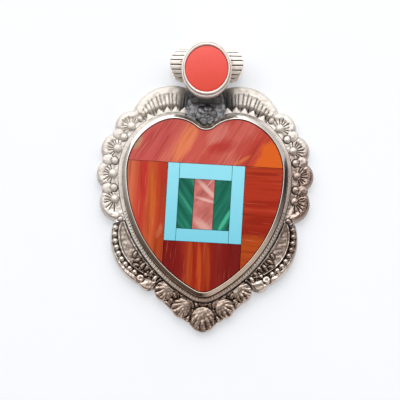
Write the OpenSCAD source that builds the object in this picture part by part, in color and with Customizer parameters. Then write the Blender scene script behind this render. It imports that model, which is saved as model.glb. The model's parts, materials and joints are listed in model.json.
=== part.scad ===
// Sacred heart pendant: a stone and shell inlay in a silver heart bezel,
// a border of fluted shells and beads, and a coral setting on a hinged tube bail.
// It lies on its back: +Z is the face, +Y runs to the bail, units are millimetres.

/* [Heart outline] */
// Half of the width of the inlaid heart
heart_half_w = 14.4; // [13:0.1:16]
// Height of the widest line above the middle of the inlay
heart_wide_y = 5.8; // [4.5:0.1:7]
// Radius of the long side arc
heart_side_r = 25; // [23:0.1:30]
// Radius of the shoulder arc
heart_shoulder_r = 10.2; // [9.5:0.1:12]
// Radius of the crown arc on top of a lobe
heart_crown_r = 6.3; // [5:0.1:7]
// Direction of the point where the shoulder passes into the crown
heart_crown_turn = 67; // [60:1:74]
// Radius of the cleft between the lobes
heart_cleft_r = 2.6; // [2.2:0.1:4]
// Radius of the blunt tip
heart_tip_r = 3; // [2:0.1:6.5]

/* [Plate, bezel and strip] */
// Thickness of the base plate
plate_t = 1.2; // [0.8:0.1:2]
// Height of the heart bezel above the plate
bezel_h = 2.8; // [2:0.1:4]
// Thickness of the heart bezel
bezel_wall = 1; // [0.6:0.05:1.4]
// Width of the gallery strip outside the bezel
strip_w = 0.65; // [0.4:0.05:1]
// Height of the gallery strip
strip_h = 0.95; // [0.6:0.05:1.3]
// Length of a sawtooth of the strip
tooth_l = 0.8; // [0.4:0.05:1.1]
// Sawteeth on each lobe, under the crest
tooth_count = 5; // [4:1:9]
// Gap between neighbouring pieces of the silver work
gap = 0.1; // [0.06:0.02:0.2]

/* [Inlay] */
// Width of the square of bars
frame_w = 14.2; // [12:0.1:16]
// Height of the square of bars
frame_h = 14.5; // [12:0.1:16]
// Width of the left bar
bar_left = 2.1; // [1.5:0.1:3]
// Width of the right bar
bar_right = 2.3; // [1.5:0.1:3]
// Height of the top bar
bar_top = 2.8; // [1.5:0.1:3.5]
// Height of the bottom bar
bar_bottom = 2.3; // [1.5:0.1:3.5]
// Width of the middle strip in the square
middle_w = 3.7; // [2.5:0.1:5]
// Shift of the middle strip to the left
middle_shift = 0.1; // [0:0.05:0.5]
// Turn of the whole pattern, clockwise
inlay_turn = 2.4; // [0:0.1:6]
// Width of a seam between two stones
seam = 0.08; // [0.04:0.02:0.2]
// Thickness of the cement bed
bed_t = 0.3; // [0.2:0.05:0.6]
// Thickness of the stones
stone_t = 2.3; // [1.5:0.1:3]

/* [Border] */
// Rise of the crest circle above the middle of the crown arc
crest_rise = 5.2; // [4.5:0.1:6]
// Radius of the crest outline
crest_r = 7.8; // [6.6:0.1:8.4]
// Flutes on a crest
crest_flutes = 13; // [9:1:17]
// Distance of the shell fan circles from the heart edge
fan_out = 2.7; // [2.2:0.05:3]
// Radius of the three upper shell fans
fan_r = 3; // [2.7:0.05:3.4]
// Radius of the lowest shell fan
fan_low_r = 3.7; // [3.4:0.05:4]
// How much nearer the lowest fan lies to the heart
fan_low_in = 0.8; // [0.5:0.05:1.1]
// Flutes round a shell fan
fan_flutes = 18; // [12:1:22]
// Height of the shell fans above the plate
fan_h = 1.1; // [0.8:0.05:1.5]
// Distance of the round lobes between the fans from the heart edge
lobe_out = 3.75; // [3.5:0.05:4]
// Radius of the plate's edge round a lobe
lobe_r = 1.1; // [0.9:0.05:1.2]
// Radius of a fan pearl
pearl_r = 0.65; // [0.5:0.05:0.7]
// Radius of the swag outline
swag_r = 9.4; // [8.4:0.1:9.8]
// Depth of the middle of the swag outline inside the heart edge
swag_in = 2.8; // [2.4:0.1:3.2]
// Least width of a swag leaf, at its ends
leaf_tip = 0.3; // [0.2:0.05:0.5]
// Radius of a swag bead
bead_r = 0.5; // [0.4:0.02:0.56]
// Beads on a swag
bead_count = 9; // [6:1:9]
// Width of the plain rim outside the lowest bead
rim_w = 1; // [0.6:0.05:1.2]
// Radius of the round curl below the beads
curl_r = 0.8; // [0.6:0.05:0.9]
// Radius of the plate's edge round the foot of the swag
foot_r = 1.9; // [1.6:0.05:2.1]
// Radius of the upper tail scroll
scroll_r = 2; // [1.7:0.05:2.2]
// Distance of the upper tail scroll from the heart edge
scroll_out = 3.1; // [2.8:0.05:4]
// Radius of the lower tail scroll
scroll_low_r = 2; // [1.7:0.05:2.4]
// Distance of the lower tail scroll from the heart edge
scroll_low_out = 3.8; // [3.6:0.05:4.8]
// Radius of the tail shell
tail_r = 2.5; // [2.2:0.05:2.9]
// Distance of the tail shell from the heart edge
tail_out = 4.65; // [3.9:0.05:4.8]
// Radius of the rosette at the cleft
rosette_r = 1.95; // [1.5:0.05:2.2]
// Height of the rosette above the plate
rosette_h = 1.05; // [0.8:0.05:1.4]

/* [Bail and coral] */
// Outer radius of the bail tube
tube_r = 3.25; // [2.9:0.05:3.6]
// Radius of the bore for the chain
bore_r = 2.35; // [2:0.05:2.5]
// Half of the length of the bail tube
tube_half_l = 6.75; // [5.8:0.05:7.5]
// Space between the crest and the bail tube
bail_gap = 0.25; // [0.2:0.05:0.6]
// Grooves round the bail tube
rib_count = 22; // [16:1:26]
// Radius of a groove of the bail tube
groove_r = 0.17; // [0.1:0.01:0.22]
// Depth of the flat on the tube that carries the coral setting
seat_cut = 0.35; // [0.2:0.05:0.5]
// Radius of the hinge knuckles
knuckle_r = 0.85; // [0.8:0.05:1.1]
// Radius of the hinge pin
pin_r = 0.45; // [0.35:0.01:0.5]
// Running clearance round the pin
pin_clear = 0.05; // [0.02:0.01:0.08]
// Half of the length of the bail knuckle
knuckle_half_l = 1.45; // [1.2:0.05:1.7]
// Length of a hinge lug
lug_l = 1.1; // [0.8:0.05:1.2]
// Half width of the coral opening
coral_half_w = 4; // [3.5:0.05:4.5]
// Half length of the coral opening
coral_half_l = 4.35; // [3.9:0.05:5]
// Thickness of the coral bezel at the sides
coral_wall = 0.65; // [0.45:0.05:0.9]
// Thickness of the coral bezel at the ends
coral_end_wall = 1; // [0.6:0.05:1.3]
// Height of the coral bezel above its plate
coral_bezel_h = 2.1; // [1.6:0.1:2.8]
// Thickness of the coral plate
coral_plate_t = 0.5; // [0.4:0.05:0.8]
// Distance from the tube axis down to the middle of the coral
coral_drop = 1.5; // [0:0.05:1.8]

/* [Hidden] */
$fn = 48;
fit = gap / 2;
edge = 1.5 * gap;
over = 1;
strip_in = bezel_wall + fit;
strip_out = strip_in + strip_w;
side_c = [heart_half_w - heart_side_r, heart_wide_y];
shoulder_c = [heart_half_w - heart_shoulder_r, heart_wide_y];
crown_c = shoulder_c + (heart_shoulder_r - heart_crown_r) * unit(heart_crown_turn);
cleft_c = [0, crown_c.y + sqrt(pow(heart_crown_r + heart_cleft_r, 2) - pow(crown_c.x, 2))];
tip_c = [0, heart_wide_y - sqrt(pow(heart_side_r - heart_tip_r, 2) - pow(side_c.x, 2))];
cleft_turn = atan2(cleft_c.y - crown_c.y, cleft_c.x - crown_c.x);
tip_turn = atan2(tip_c.y - side_c.y, tip_c.x - side_c.x);
crest_turn = 84;
crest_from = 103;
crest_to = 54;
fan_turn = [42, 20, -0.6, -11.5];
swag_turn = -33.6;
swag_from = -19.5;
swag_to = -46.5;
bead_from = 13;
bead_to = -52.5;
curl_turn = -63;
foot_turn = -44;
foot_out = 3.85;
scroll_turn = -51.2;
scroll_low_turn = -56;
crest_c = crown_c + crest_rise * unit(crest_turn);
fan_radius = [fan_r, fan_r, fan_r, fan_low_r];
fan_c = [for (i = [0 : 3]) edge_at(fan_turn[i], fan_out - (i == 3 ? fan_low_in : 0))];
lobe_turn = [for (i = [0 : 2]) (fan_turn[i] + fan_turn[i + 1]) / 2];
lobe_c = [for (a = lobe_turn) edge_at(a, lobe_out)];
swag_c = edge_at(swag_turn, -swag_in);
foot_c = edge_at(foot_turn, foot_out);
scroll_c = edge_at(scroll_turn, scroll_out);
scroll_low_c = tip_c + (heart_tip_r + scroll_low_out) * unit(scroll_low_turn);
tail_c = tip_c - [0, heart_tip_r + tail_out];
rosette_c = [0, crown_c.y + sqrt(pow(heart_crown_r + strip_in + rosette_r + gap, 2) - pow(crown_c.x, 2))];
hinge_y = rosette_c.y + rosette_r + knuckle_r + gap;
hinge_z = plate_t + knuckle_r + gap;
hinge_half_l = knuckle_half_l + gap + lug_l;
tube_y = max(crest_c.y + crest_r, hinge_y + knuckle_r) + bail_gap + tube_r;
tube_z = tube_r + fit;
seat_z = tube_z + tube_r - seat_cut;
coral_y = tube_y - coral_drop;
bed_z = plate_t + bed_t;
bezel_z = plate_t + bezel_h;
coral_z = seat_z + coral_plate_t;

function unit(a) = [cos(a), sin(a)];
function arc(c, r, a, b, n) = [for (i = [0 : n - 1]) c + r * unit(a + (b - a) * i / n)];

// Right half of the heart, grown by d, from the tip to the cleft
function half_heart(d) = concat(
    arc(tip_c, heart_tip_r + d, -90, tip_turn, 6),
    arc(side_c, heart_side_r + d, tip_turn, 0, 14),
    arc(shoulder_c, heart_shoulder_r + d, 0, heart_crown_turn, 9),
    arc(crown_c, heart_crown_r + d, heart_crown_turn, cleft_turn, 9),
    arc(cleft_c, heart_cleft_r - d, cleft_turn - 180, -90, 5),
    [cleft_c + [0, d - heart_cleft_r]]);
function heart(d) = let (h = half_heart(d), n = len(h))
    concat(h, [for (i = [n - 2 : -1 : 1]) [-h[i].x, h[i].y]]);

// Centre and radius of the heart arc whose outward direction is a, and a point d outside it
function arc_c(a) = a >= heart_crown_turn ? crown_c : a >= 0 ? shoulder_c : side_c;
function arc_r(a) = a >= heart_crown_turn ? heart_crown_r : a >= 0 ? heart_shoulder_r : heart_side_r;
function edge_at(a, d) = arc_c(a) + (arc_r(a) + d) * unit(a);

// How far a ray from p runs inside a circle and on the inner side of straight lines
function to_circle(p, u, c, r) = let (q = c - p, b = q * u) b + sqrt(max(0, b * b - q * q + r * r));
function to_line(p, u, l) = let (n = [l[0], l[1]], k = n * u) k > 0.001 ? (l[2] - n * p) / k : 1000;
function reach(p, u, c, r, lines) =
    min(concat([to_circle(p, u, c, r)], [for (l = lines) to_line(p, u, l)]));
// Line between two round pieces, along a heart normal, short of a round piece, outside the strip
function between(a, ra, b, rb) = let (n = (b - a) / norm(b - a))
    [n.x, n.y, (b * b - a * a + ra * ra - rb * rb) / 2 / norm(b - a) - gap];
function beside(a, side) = let (n = unit(a + side * 90)) [n.x, n.y, n * arc_c(a) - gap];
function clear_of(p, q, r) = let (n = (q - p) / norm(q - p)) [n.x, n.y, n * q - r - gap];
function outside(c, r, a) = let (u = unit(a)) [-u.x, -u.y, -u * c - r - strip_out - gap];

// Closed body from a grid of top points, rows inwards to outwards, on a flat underside
module patch(grid, z) {
    n = len(grid);
    m = len(grid[0]);
    k = n * m;
    rim = concat([for (i = [0 : n - 1]) i * m], [for (j = [1 : m - 1]) (n - 1) * m + j],
        [for (i = [n - 2 : -1 : 0]) i * m + m - 1], [for (j = [m - 2 : -1 : 1]) j]);
    top = [for (row = grid) each row];
    low = [for (p = top) [p.x, p.y, z]];
    faces = concat(
        [for (i = [0 : n - 2], j = [0 : m - 2]) let (a = i * m + j, b = a + m)
            each [[a, b, b + 1], [a, b + 1, a + 1],
                [k + a, k + b + 1, k + b], [k + a, k + a + 1, k + b + 1]]],
        [for (i = [0 : len(rim) - 1]) let (a = rim[i], b = rim[(i + 1) % len(rim)])
            each [[a, k + a, k + b], [a, k + b, b]]]);
    polyhedron(concat(top, low), faces, convexity = 6);
}

// Closed round body: a flat seat in the middle, then rings of points, on a flat underside
module round_relief(p, seat, seat_z, rings, z) {
    m = len(rings);
    n = len(rings[0]);
    top = concat([[p.x, p.y, seat_z]], [for (r = rings) each r]);
    low = concat([for (q = rings[m - 1]) [q.x, q.y, z]], [[p.x, p.y, z]]);
    b = 1 + m * n;
    faces = concat(
        [for (i = [0 : n - 1]) [0, 1 + (i + 1) % n, 1 + i]],
        [for (j = [0 : m - 2], i = [0 : n - 1]) let (a = 1 + j * n, c = a + n, e = (i + 1) % n)
            each [[a + i, a + e, c + e], [a + i, c + e, c + i]]],
        [for (i = [0 : n - 1]) let (a = 1 + (m - 1) * n, e = (i + 1) % n)
            each [[a + i, a + e, b + e], [a + i, b + e, b + i]]],
        [for (i = [0 : n - 1]) [b + i, b + (i + 1) % n, b + n]]);
    polyhedron(concat(top, low), faces, convexity = 6);
}

// Fluted shell: flat seat, flutes that are deepest on the outer side, and a plain rim
seat_rise = 0.55;
module shell(p, a, c, r, lines, flutes, seat, h) {
    n = 2 * flutes;
    steps = [[0, seat_rise, 0], [0.18, 0.7, 0.12], [0.52, 0.82, 0.18], [0.68, 1, 0], [0.88, 0.95, 0],
        [1, 0.6, 0]];
    rings = [for (s = steps) [for (i = [0 : n - 1])
        let (u = unit(a + i * 360 / n), d = seat + (reach(p, u, c, r, lines) - seat) * s[0],
            flute = s[2] * (0.55 + 0.45 * cos(i * 360 / n)))
            [p.x + d * u.x, p.y + d * u.y, plate_t + h * (s[1] + (i % 2 == 0 ? flute : -flute))]]];
    round_relief(p, seat, plate_t + seat_rise * h, rings, plate_t);
}

// Closed ring from a list of loops, each with the same number of points
module ring(loops) {
    m = len(loops);
    n = len(loops[0]);
    faces = [for (j = [0 : m - 1], i = [0 : n - 1])
        let (this = j * n, next = (j + 1) % m * n, e = (i + 1) % n)
            each [[this + i, next + e, this + e], [this + i, next + i, next + e]]];
    polyhedron([for (l = loops) each l], faces, convexity = 6);
}

function oval(rx, ry, n) = [for (i = [0 : n - 1]) [rx * cos(360 * i / n), ry * sin(360 * i / n)]];

module both_sides() {
    children();
    mirror([1, 0, 0]) children();
}

// Area of the inlay pattern between two corners
module area(x0, y0, x1, y1) {
    rotate([0, 0, -inlay_turn]) translate([x0, y0]) square([x1 - x0, y1 - y0]);
}

module outer_stone(x0, y0, x1, y1) {
    translate([0, 0, bed_z]) linear_extrude(stone_t) intersection() {
        polygon(heart(-fit));
        area(x0, y0, x1, y1);
    }
}

module inner_stone(x0, y0, x1, y1) {
    translate([0, 0, bed_z]) linear_extrude(stone_t) area(x0, y0, x1, y1);
}

in_left = -frame_w / 2 + bar_left + seam;
in_right = frame_w / 2 - bar_right - seam;
in_top = frame_h / 2 - bar_top - seam;
in_bottom = -frame_h / 2 + bar_bottom + seam;
mid_left = (in_left + in_right - middle_w) / 2 - middle_shift;
mid_right = mid_left + middle_w;
far = 40;

// Straight web between two round pieces
function web(a, ra, b, rb) = let (u = (b - a) / norm(b - a), n = [u.y, -u.x])
    [a + n * ra, b + n * rb, b - n * rb, a - n * ra];

module base_plate() {
    dip = 2.5 * gap;
    color([0.5, 0.48, 0.46]) linear_extrude(plate_t) {
        polygon(heart(strip_out + tooth_l));
        translate(tip_c) circle(heart_tip_r + strip_out + 2 * tooth_l);
        both_sides() {
            translate(crest_c) circle(crest_r);
            for (i = [0 : 3]) translate(fan_c[i]) circle(fan_radius[i]);
            for (c = lobe_c) translate(c) circle(lobe_r);
            translate(swag_c) circle(swag_r);
            translate(foot_c) circle(foot_r);
            translate(scroll_c) circle(scroll_r);
            translate(scroll_low_c) circle(scroll_low_r);
            polygon(web(scroll_c, scroll_r - dip, scroll_low_c, scroll_low_r - dip));
            polygon(web(scroll_low_c, scroll_low_r - dip, tail_c, tail_r - dip));
        }
        translate(tail_c) circle(tail_r);
        translate([-hinge_half_l - 3 * gap, crown_c.y])
            square([2 * hinge_half_l + 6 * gap, hinge_y + knuckle_r - crown_c.y]);
    }
}

module heart_bezel() {
    w = bezel_wall;
    section = [[0, plate_t], [w, plate_t], [w, bezel_z - w * 0.5], [w * 0.86, bezel_z - w * 0.17],
        [w * 0.55, bezel_z], [w * 0.2, bezel_z - w * 0.08], [0, bezel_z - w * 0.3]];
    color([0.86, 0.85, 0.83]) ring([for (s = section) [for (q = heart(s[0])) [q.x, q.y, s[1]]]]);
}

// Direction of the point a length s along the strip under the crest, from its cleft end
crown_strip_r = heart_crown_r + strip_out;
shoulder_strip_r = heart_shoulder_r + strip_out;
crown_strip_l = (crest_from - heart_crown_turn) * PI / 180 * crown_strip_r;
tooth_pitch = (crown_strip_l + (heart_crown_turn - crest_to) * PI / 180 * shoulder_strip_r) / tooth_count;
function tooth_turn(s) = s < crown_strip_l ? crest_from - s / crown_strip_r * 180 / PI
    : heart_crown_turn - (s - crown_strip_l) / shoulder_strip_r * 180 / PI;

module gallery_strip() {
    color([0.8, 0.78, 0.75]) translate([0, 0, plate_t]) linear_extrude(strip_h) difference() {
        union() {
            difference() {
                polygon(heart(strip_out));
                polygon(heart(strip_in));
            }
            both_sides() for (i = [0 : tooth_count - 1]) {
                s = (i + 0.5) * tooth_pitch;
                half = 0.44 * tooth_pitch;
                polygon([edge_at(tooth_turn(s + half), strip_out - strip_w / 3),
                    edge_at(tooth_turn(s), strip_out + tooth_l),
                    edge_at(tooth_turn(s - half), strip_out - strip_w / 3)]);
            }
        }
        translate(rosette_c) circle(rosette_r + gap);
    }
}

module inlay_bed() {
    color([0.08, 0.07, 0.07]) translate([0, 0, plate_t]) linear_extrude(bed_t) polygon(heart(-fit));
}

module shell_top() {
    color([0.78, 0.3, 0.24]) outer_stone(-far, frame_h / 2 + seam, far, far);
}

module shell_left() {
    color([0.75, 0.32, 0.2]) outer_stone(-far, -far, -frame_w / 2 - seam, frame_h / 2);
}

module shell_right() {
    color([0.68, 0.2, 0.13]) outer_stone(frame_w / 2 + seam, -far, far, frame_h / 2);
}

module shell_bottom() {
    color([0.55, 0.13, 0.11]) outer_stone(-frame_w / 2, -far, frame_w / 2, -frame_h / 2 - seam);
}

module turquoise_left() {
    color([0.47, 0.83, 0.9])
        inner_stone(-frame_w / 2, -frame_h / 2, -frame_w / 2 + bar_left, frame_h / 2);
}

module turquoise_right() {
    color([0.47, 0.83, 0.9])
        inner_stone(frame_w / 2 - bar_right, -frame_h / 2, frame_w / 2, frame_h / 2);
}

module turquoise_top() {
    color([0.47, 0.83, 0.9]) inner_stone(in_left, frame_h / 2 - bar_top, in_right, frame_h / 2);
}

module turquoise_bottom() {
    color([0.47, 0.83, 0.9]) inner_stone(in_left, -frame_h / 2, in_right, -frame_h / 2 + bar_bottom);
}

module malachite_left() {
    color([0.1, 0.43, 0.33]) inner_stone(in_left, in_bottom, mid_left - seam, in_top);
}

module rhodochrosite() {
    color([0.79, 0.42, 0.4]) inner_stone(mid_left, in_bottom, mid_right, in_top);
}

module malachite_right() {
    color([0.1, 0.43, 0.33]) inner_stone(mid_right + seam, in_bottom, in_right, in_top);
}

// Fluted crest over one lobe, between the sawteeth and the plate's edge
module crest() {
    n = 2 * crest_flutes;
    start = strip_out + tooth_l + gap;
    steps = [[0, 0.45, 0], [0.12, 0.6, 0.16], [0.66, 0.85, 0.16], [0.76, 1.05, 0], [0.93, 0.95, 0],
        [1, 0.6, 0]];
    grid = [for (i = [0 : n])
        let (a = crest_to + (crest_from - crest_to) * i / n, u = unit(a), c = arc_c(a), r = arc_r(a),
            stop = to_circle(c, u, crest_c, crest_r - edge) - r)
        [for (s = steps) let (d = r + start + (stop - start) * s[0])
            [c.x + d * u.x, c.y + d * u.y, plate_t + fan_h * (s[1] + (i % 2 == 0 ? -s[2] : s[2]))]]];
    color([0.8, 0.78, 0.75]) patch(grid, plate_t);
}

module crest_right() {
    crest();
}

module crest_left() {
    mirror([1, 0, 0]) crest();
}

// Lines that keep each shell fan clear of its neighbours
pearl_at = [for (i = [0 : 3]) edge_at(fan_turn[i] + (i == 3 ? 1 : 0), strip_out + pearl_r + 3 * gap)];
function fan_lines(i) = concat([
    i == 0 ? beside(crest_to, 1) : between(fan_c[i], fan_radius[i], fan_c[i - 1], fan_radius[i - 1]),
    i == 3 ? beside(swag_from, -1) : between(fan_c[i], fan_radius[i], fan_c[i + 1], fan_radius[i + 1]),
    outside(arc_c(fan_turn[i]), arc_r(fan_turn[i]), fan_turn[i])],
    [for (j = [max(0, i - 1) : min(2, i)]) clear_of(pearl_at[i], lobe_c[j], lobe_r - edge)]);

// Low oval lobe between two fans, its length along the direction a
module lobe(p, a) {
    n = 16;
    l = lobe_r - edge;
    w = 0.75 * l;
    rings = [for (s = [[0.45, 0.95], [0.8, 0.8], [1, 0.4]]) [for (i = [0 : n - 1])
        let (q = [l * s[0] * cos(360 * i / n), w * s[0] * sin(360 * i / n)])
            [p.x + q.x * cos(a) - q.y * sin(a), p.y + q.x * sin(a) + q.y * cos(a), plate_t + fan_h * s[1]]]];
    round_relief(p, 0, plate_t + fan_h, rings, plate_t);
}

module fans() {
    color([0.8, 0.78, 0.75]) {
        for (i = [0 : 3])
            shell(pearl_at[i], fan_turn[i], fan_c[i], fan_radius[i] - edge, fan_lines(i), fan_flutes,
                pearl_r + gap, fan_h);
        for (i = [0 : 2]) lobe(lobe_c[i], lobe_turn[i]);
    }
}

module fans_right() {
    fans();
}

module fans_left() {
    mirror([1, 0, 0]) fans();
}

// Ball that is cut flat where it sits
module dome(r, z) {
    translate([0, 0, z]) intersection() {
        translate([0, 0, r * 0.4]) sphere(r);
        translate([-2 * r, -2 * r, 0]) cube(4 * r);
    }
}

module fan_pearls() {
    color([0.85, 0.83, 0.8]) both_sides() for (p = pearl_at)
        translate([p.x, p.y, 0]) dome(pearl_r, plate_t + seat_rise * fan_h);
}

// Leaf between the gallery strip and the row of beads
module swag() {
    n = 16;
    inset = 0.6;
    start = strip_out + gap;
    steps = [[0, 0.5], [0.1, 0.85], [0.22, 0.9], [0.3, 0.55], [0.4, 0.95], [0.7, 1], [0.9, 0.8], [1, 0.4]];
    grid = [for (i = [0 : n])
        let (a = swag_to + inset + (swag_from - swag_to - 2 * inset) * i / n, u = unit(a), c = arc_c(a),
            r = arc_r(a), leaf_end = to_circle(c, u, swag_c, swag_r - rim_w - 2 * bead_r - gap) - r,
            stop = max(start + leaf_tip, leaf_end))
        [for (s = steps) let (d = r + start + (stop - start) * s[0])
            [c.x + d * u.x, c.y + d * u.y, plate_t + fan_h * s[1]]]];
    color([0.78, 0.76, 0.73]) patch(grid, plate_t);
}

module swag_right() {
    swag();
}

module swag_left() {
    mirror([1, 0, 0]) swag();
}

module swag_beads() {
    curl = swag_c + (swag_r - 2 * edge - curl_r) * unit(curl_turn);
    color([0.82, 0.8, 0.77]) both_sides() {
        for (i = [0 : bead_count - 1]) {
            share = i / (bead_count - 1);
            b = swag_c + (swag_r - edge - (rim_w - edge) * share - bead_r)
                * unit(bead_from + (bead_to - bead_from) * share);
            translate([b.x, b.y, 0]) dome(bead_r, plate_t);
        }
        translate([curl.x, curl.y, 0]) dome(curl_r, plate_t);
    }
}

module tail_scrolls() {
    color([0.78, 0.76, 0.73]) both_sides() {
        shell(scroll_c, scroll_turn, scroll_c, scroll_r - edge,
            [beside(swag_to, 1), between(scroll_c, scroll_r, scroll_low_c, scroll_low_r),
                outside(side_c, heart_side_r, scroll_turn)], 9, scroll_r / 5, fan_h);
        shell(scroll_low_c, scroll_low_turn, scroll_low_c, scroll_low_r - edge,
            [between(scroll_low_c, scroll_low_r, scroll_c, scroll_r),
                between(scroll_low_c, scroll_low_r, tail_c, tail_r),
                outside(tip_c, heart_tip_r, scroll_low_turn)], 11, scroll_low_r / 5, fan_h);
    }
}

module tail_shell() {
    color([0.78, 0.76, 0.73]) shell(tail_c, -90, tail_c, tail_r - edge,
        [between(tail_c, tail_r, scroll_low_c, scroll_low_r),
            between(tail_c, tail_r, [-scroll_low_c.x, scroll_low_c.y], scroll_low_r)], 13, tail_r / 5, fan_h);
}

// Small flower: petals round a raised middle
module rosette() {
    petals = 8;
    n = 4 * petals;
    steps = [[0.2, 0.9, 0], [0.34, 0.57, 0], [0.6, 0.81, 0.14], [0.88, 0.67, 0.14], [1, 0.29, 0]];
    rings = [for (s = steps) [for (i = [0 : n - 1])
        let (wave = cos(petals * 360 * i / n), u = unit(90 + 360 * i / n),
            d = rosette_r * s[0] * (s[0] < 0.5 ? 1 : 0.94 + 0.06 * wave))
            [rosette_c.x + d * u.x, rosette_c.y + d * u.y, plate_t + rosette_h * (s[1] + s[2] * wave)]]];
    color([0.3, 0.3, 0.31]) round_relief(rosette_c, rosette_r / 5, plate_t + rosette_h, rings, plate_t);
}

// Knuckle along X with a foot down to the plate
module lug() {
    difference() {
        union() {
            translate([0, hinge_y, hinge_z]) rotate([0, 90, 0]) cylinder(h = lug_l, r = knuckle_r);
            translate([0, hinge_y - knuckle_r * 0.8, plate_t])
                cube([lug_l, knuckle_r * 1.6, hinge_z - plate_t]);
        }
        translate([-over, hinge_y, hinge_z]) rotate([0, 90, 0])
            cylinder(h = lug_l + 2 * over, r = pin_r + pin_clear);
    }
}

module hinge_lugs() {
    color([0.45, 0.44, 0.43]) both_sides() translate([knuckle_half_l + gap, 0, 0]) lug();
}

module hinge_pin() {
    head_t = 2 * gap;
    head_r = pin_r + 1.5 * gap;
    slack = gap / 5;
    color([0.5, 0.49, 0.48]) translate([0, hinge_y, hinge_z]) rotate([0, 90, 0]) {
        translate([0, 0, -hinge_half_l - gap]) cylinder(h = 2 * (hinge_half_l + gap), r = pin_r);
        translate([0, 0, hinge_half_l + slack]) cylinder(h = head_t, r = head_r);
        translate([0, 0, -hinge_half_l - slack - head_t]) cylinder(h = head_t, r = head_r);
    }
}

// Ribbed tube with rounded ends, the tongue under it and the middle knuckle
module bail_tube() {
    end_r = tube_r + edge;
    color([0.82, 0.81, 0.79]) difference() {
        union() {
            intersection() {
                translate([-tube_half_l - over, tube_y, tube_z]) rotate([90, 0, 90])
                    linear_extrude(2 * tube_half_l + 2 * over) difference() {
                        circle(tube_r);
                        for (i = [0 : rib_count - 1]) rotate(360 * (i + 0.5) / rib_count)
                            translate([tube_r, 0]) circle(groove_r);
                    }
                translate([0, tube_y, -over]) linear_extrude(2 * tube_r + 3 * over) {
                    square([2 * (tube_half_l - end_r), 2 * tube_r + 2 * over], center = true);
                    both_sides() translate([tube_half_l - end_r, 0]) circle(end_r);
                }
            }
            translate([0, hinge_y, hinge_z]) rotate([0, 90, 0])
                translate([0, 0, -knuckle_half_l]) cylinder(h = 2 * knuckle_half_l, r = knuckle_r);
            translate([-knuckle_half_l, hinge_y, hinge_z - knuckle_r + fit])
                cube([2 * knuckle_half_l, tube_y - hinge_y - bore_r, knuckle_r]);
        }
        translate([-tube_half_l - over, tube_y, tube_z]) rotate([0, 90, 0])
            cylinder(h = 2 * (tube_half_l + over), r = bore_r);
        translate([-knuckle_half_l - over, hinge_y, hinge_z]) rotate([0, 90, 0])
            cylinder(h = 2 * (knuckle_half_l + over), r = pin_r + pin_clear);
        translate([-tube_half_l - over, tube_y - tube_r, seat_z])
            cube([2 * (tube_half_l + over), 2 * tube_r, tube_r]);
    }
}

module coral_plate() {
    color([0.8, 0.79, 0.77]) translate([0, coral_y, seat_z]) linear_extrude(coral_plate_t)
        polygon(oval(coral_half_w + coral_wall, coral_half_l + coral_end_wall, 48));
}

// Oval ring from [share of the wall, height] points
module coral_bezel() {
    n = 48;
    h = coral_bezel_h;
    w = coral_end_wall;
    section = [[0, 0], [1, 0], [1, h - w * 0.5], [0.85, h - w * 0.15], [0.55, h], [0.15, h - w * 0.1],
        [0, h - w * 0.3]];
    color([0.88, 0.87, 0.85]) ring([for (s = section)
        [for (q = oval(coral_half_w + s[0] * coral_wall, coral_half_l + s[0] * w, n))
            [q.x, q.y + coral_y, coral_z + s[1]]]]);
}

module coral_stone() {
    h = coral_bezel_h - 2 * gap;
    dome_r = 6 * coral_half_l;
    color([0.92, 0.36, 0.31]) translate([0, coral_y, coral_z]) intersection() {
        linear_extrude(h + over) polygon(oval(coral_half_w - fit, coral_half_l - fit, 48));
        translate([0, 0, h - dome_r]) sphere(dome_r);
    }
}

base_plate();
heart_bezel();
gallery_strip();
inlay_bed();
shell_top();
shell_left();
shell_right();
shell_bottom();
turquoise_left();
turquoise_right();
turquoise_top();
turquoise_bottom();
malachite_left();
rhodochrosite();
malachite_right();
crest_left();
crest_right();
fans_left();
fans_right();
fan_pearls();
swag_left();
swag_right();
swag_beads();
tail_scrolls();
tail_shell();
rosette();
hinge_lugs();
hinge_pin();
bail_tube();
coral_plate();
coral_bezel();
coral_stone();
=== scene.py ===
# %% [markdown]
# Sacred heart pendant: a silver pendant with a heart of inlaid shell and stone.
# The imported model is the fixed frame. This lesson dresses it piece by piece: each silver ornament
# and each stone is made here in its own cells, in the place where the frame holds its solid.
# Lengths are written in millimetres and turned into metres when a mesh is made.

# %% Load the frame
import json
import math

import bmesh
import bpy
import numpy as np
from mathutils import Matrix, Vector
from mathutils.kdtree import KDTree


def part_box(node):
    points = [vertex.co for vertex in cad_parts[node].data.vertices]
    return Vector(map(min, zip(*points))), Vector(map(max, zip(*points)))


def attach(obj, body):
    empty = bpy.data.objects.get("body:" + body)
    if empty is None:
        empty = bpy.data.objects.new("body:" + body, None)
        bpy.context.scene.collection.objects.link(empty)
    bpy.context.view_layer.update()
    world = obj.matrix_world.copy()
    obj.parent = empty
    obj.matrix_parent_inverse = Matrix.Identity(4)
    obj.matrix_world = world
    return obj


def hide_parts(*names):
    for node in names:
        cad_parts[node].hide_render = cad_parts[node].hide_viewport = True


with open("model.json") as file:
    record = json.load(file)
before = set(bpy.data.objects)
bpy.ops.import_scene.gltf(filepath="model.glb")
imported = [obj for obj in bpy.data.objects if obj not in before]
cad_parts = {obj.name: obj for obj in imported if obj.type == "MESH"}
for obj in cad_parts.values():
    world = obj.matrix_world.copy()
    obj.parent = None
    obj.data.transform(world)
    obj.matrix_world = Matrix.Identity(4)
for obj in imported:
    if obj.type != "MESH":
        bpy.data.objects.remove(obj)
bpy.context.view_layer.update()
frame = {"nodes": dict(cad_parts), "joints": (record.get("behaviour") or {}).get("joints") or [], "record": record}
nodes = frame["nodes"]
MM = 0.001
plate_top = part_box("base_plate")[1].z / MM
print("frame:", len(nodes), "nodes, plate top at", round(plate_top, 2), "mm")

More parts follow.
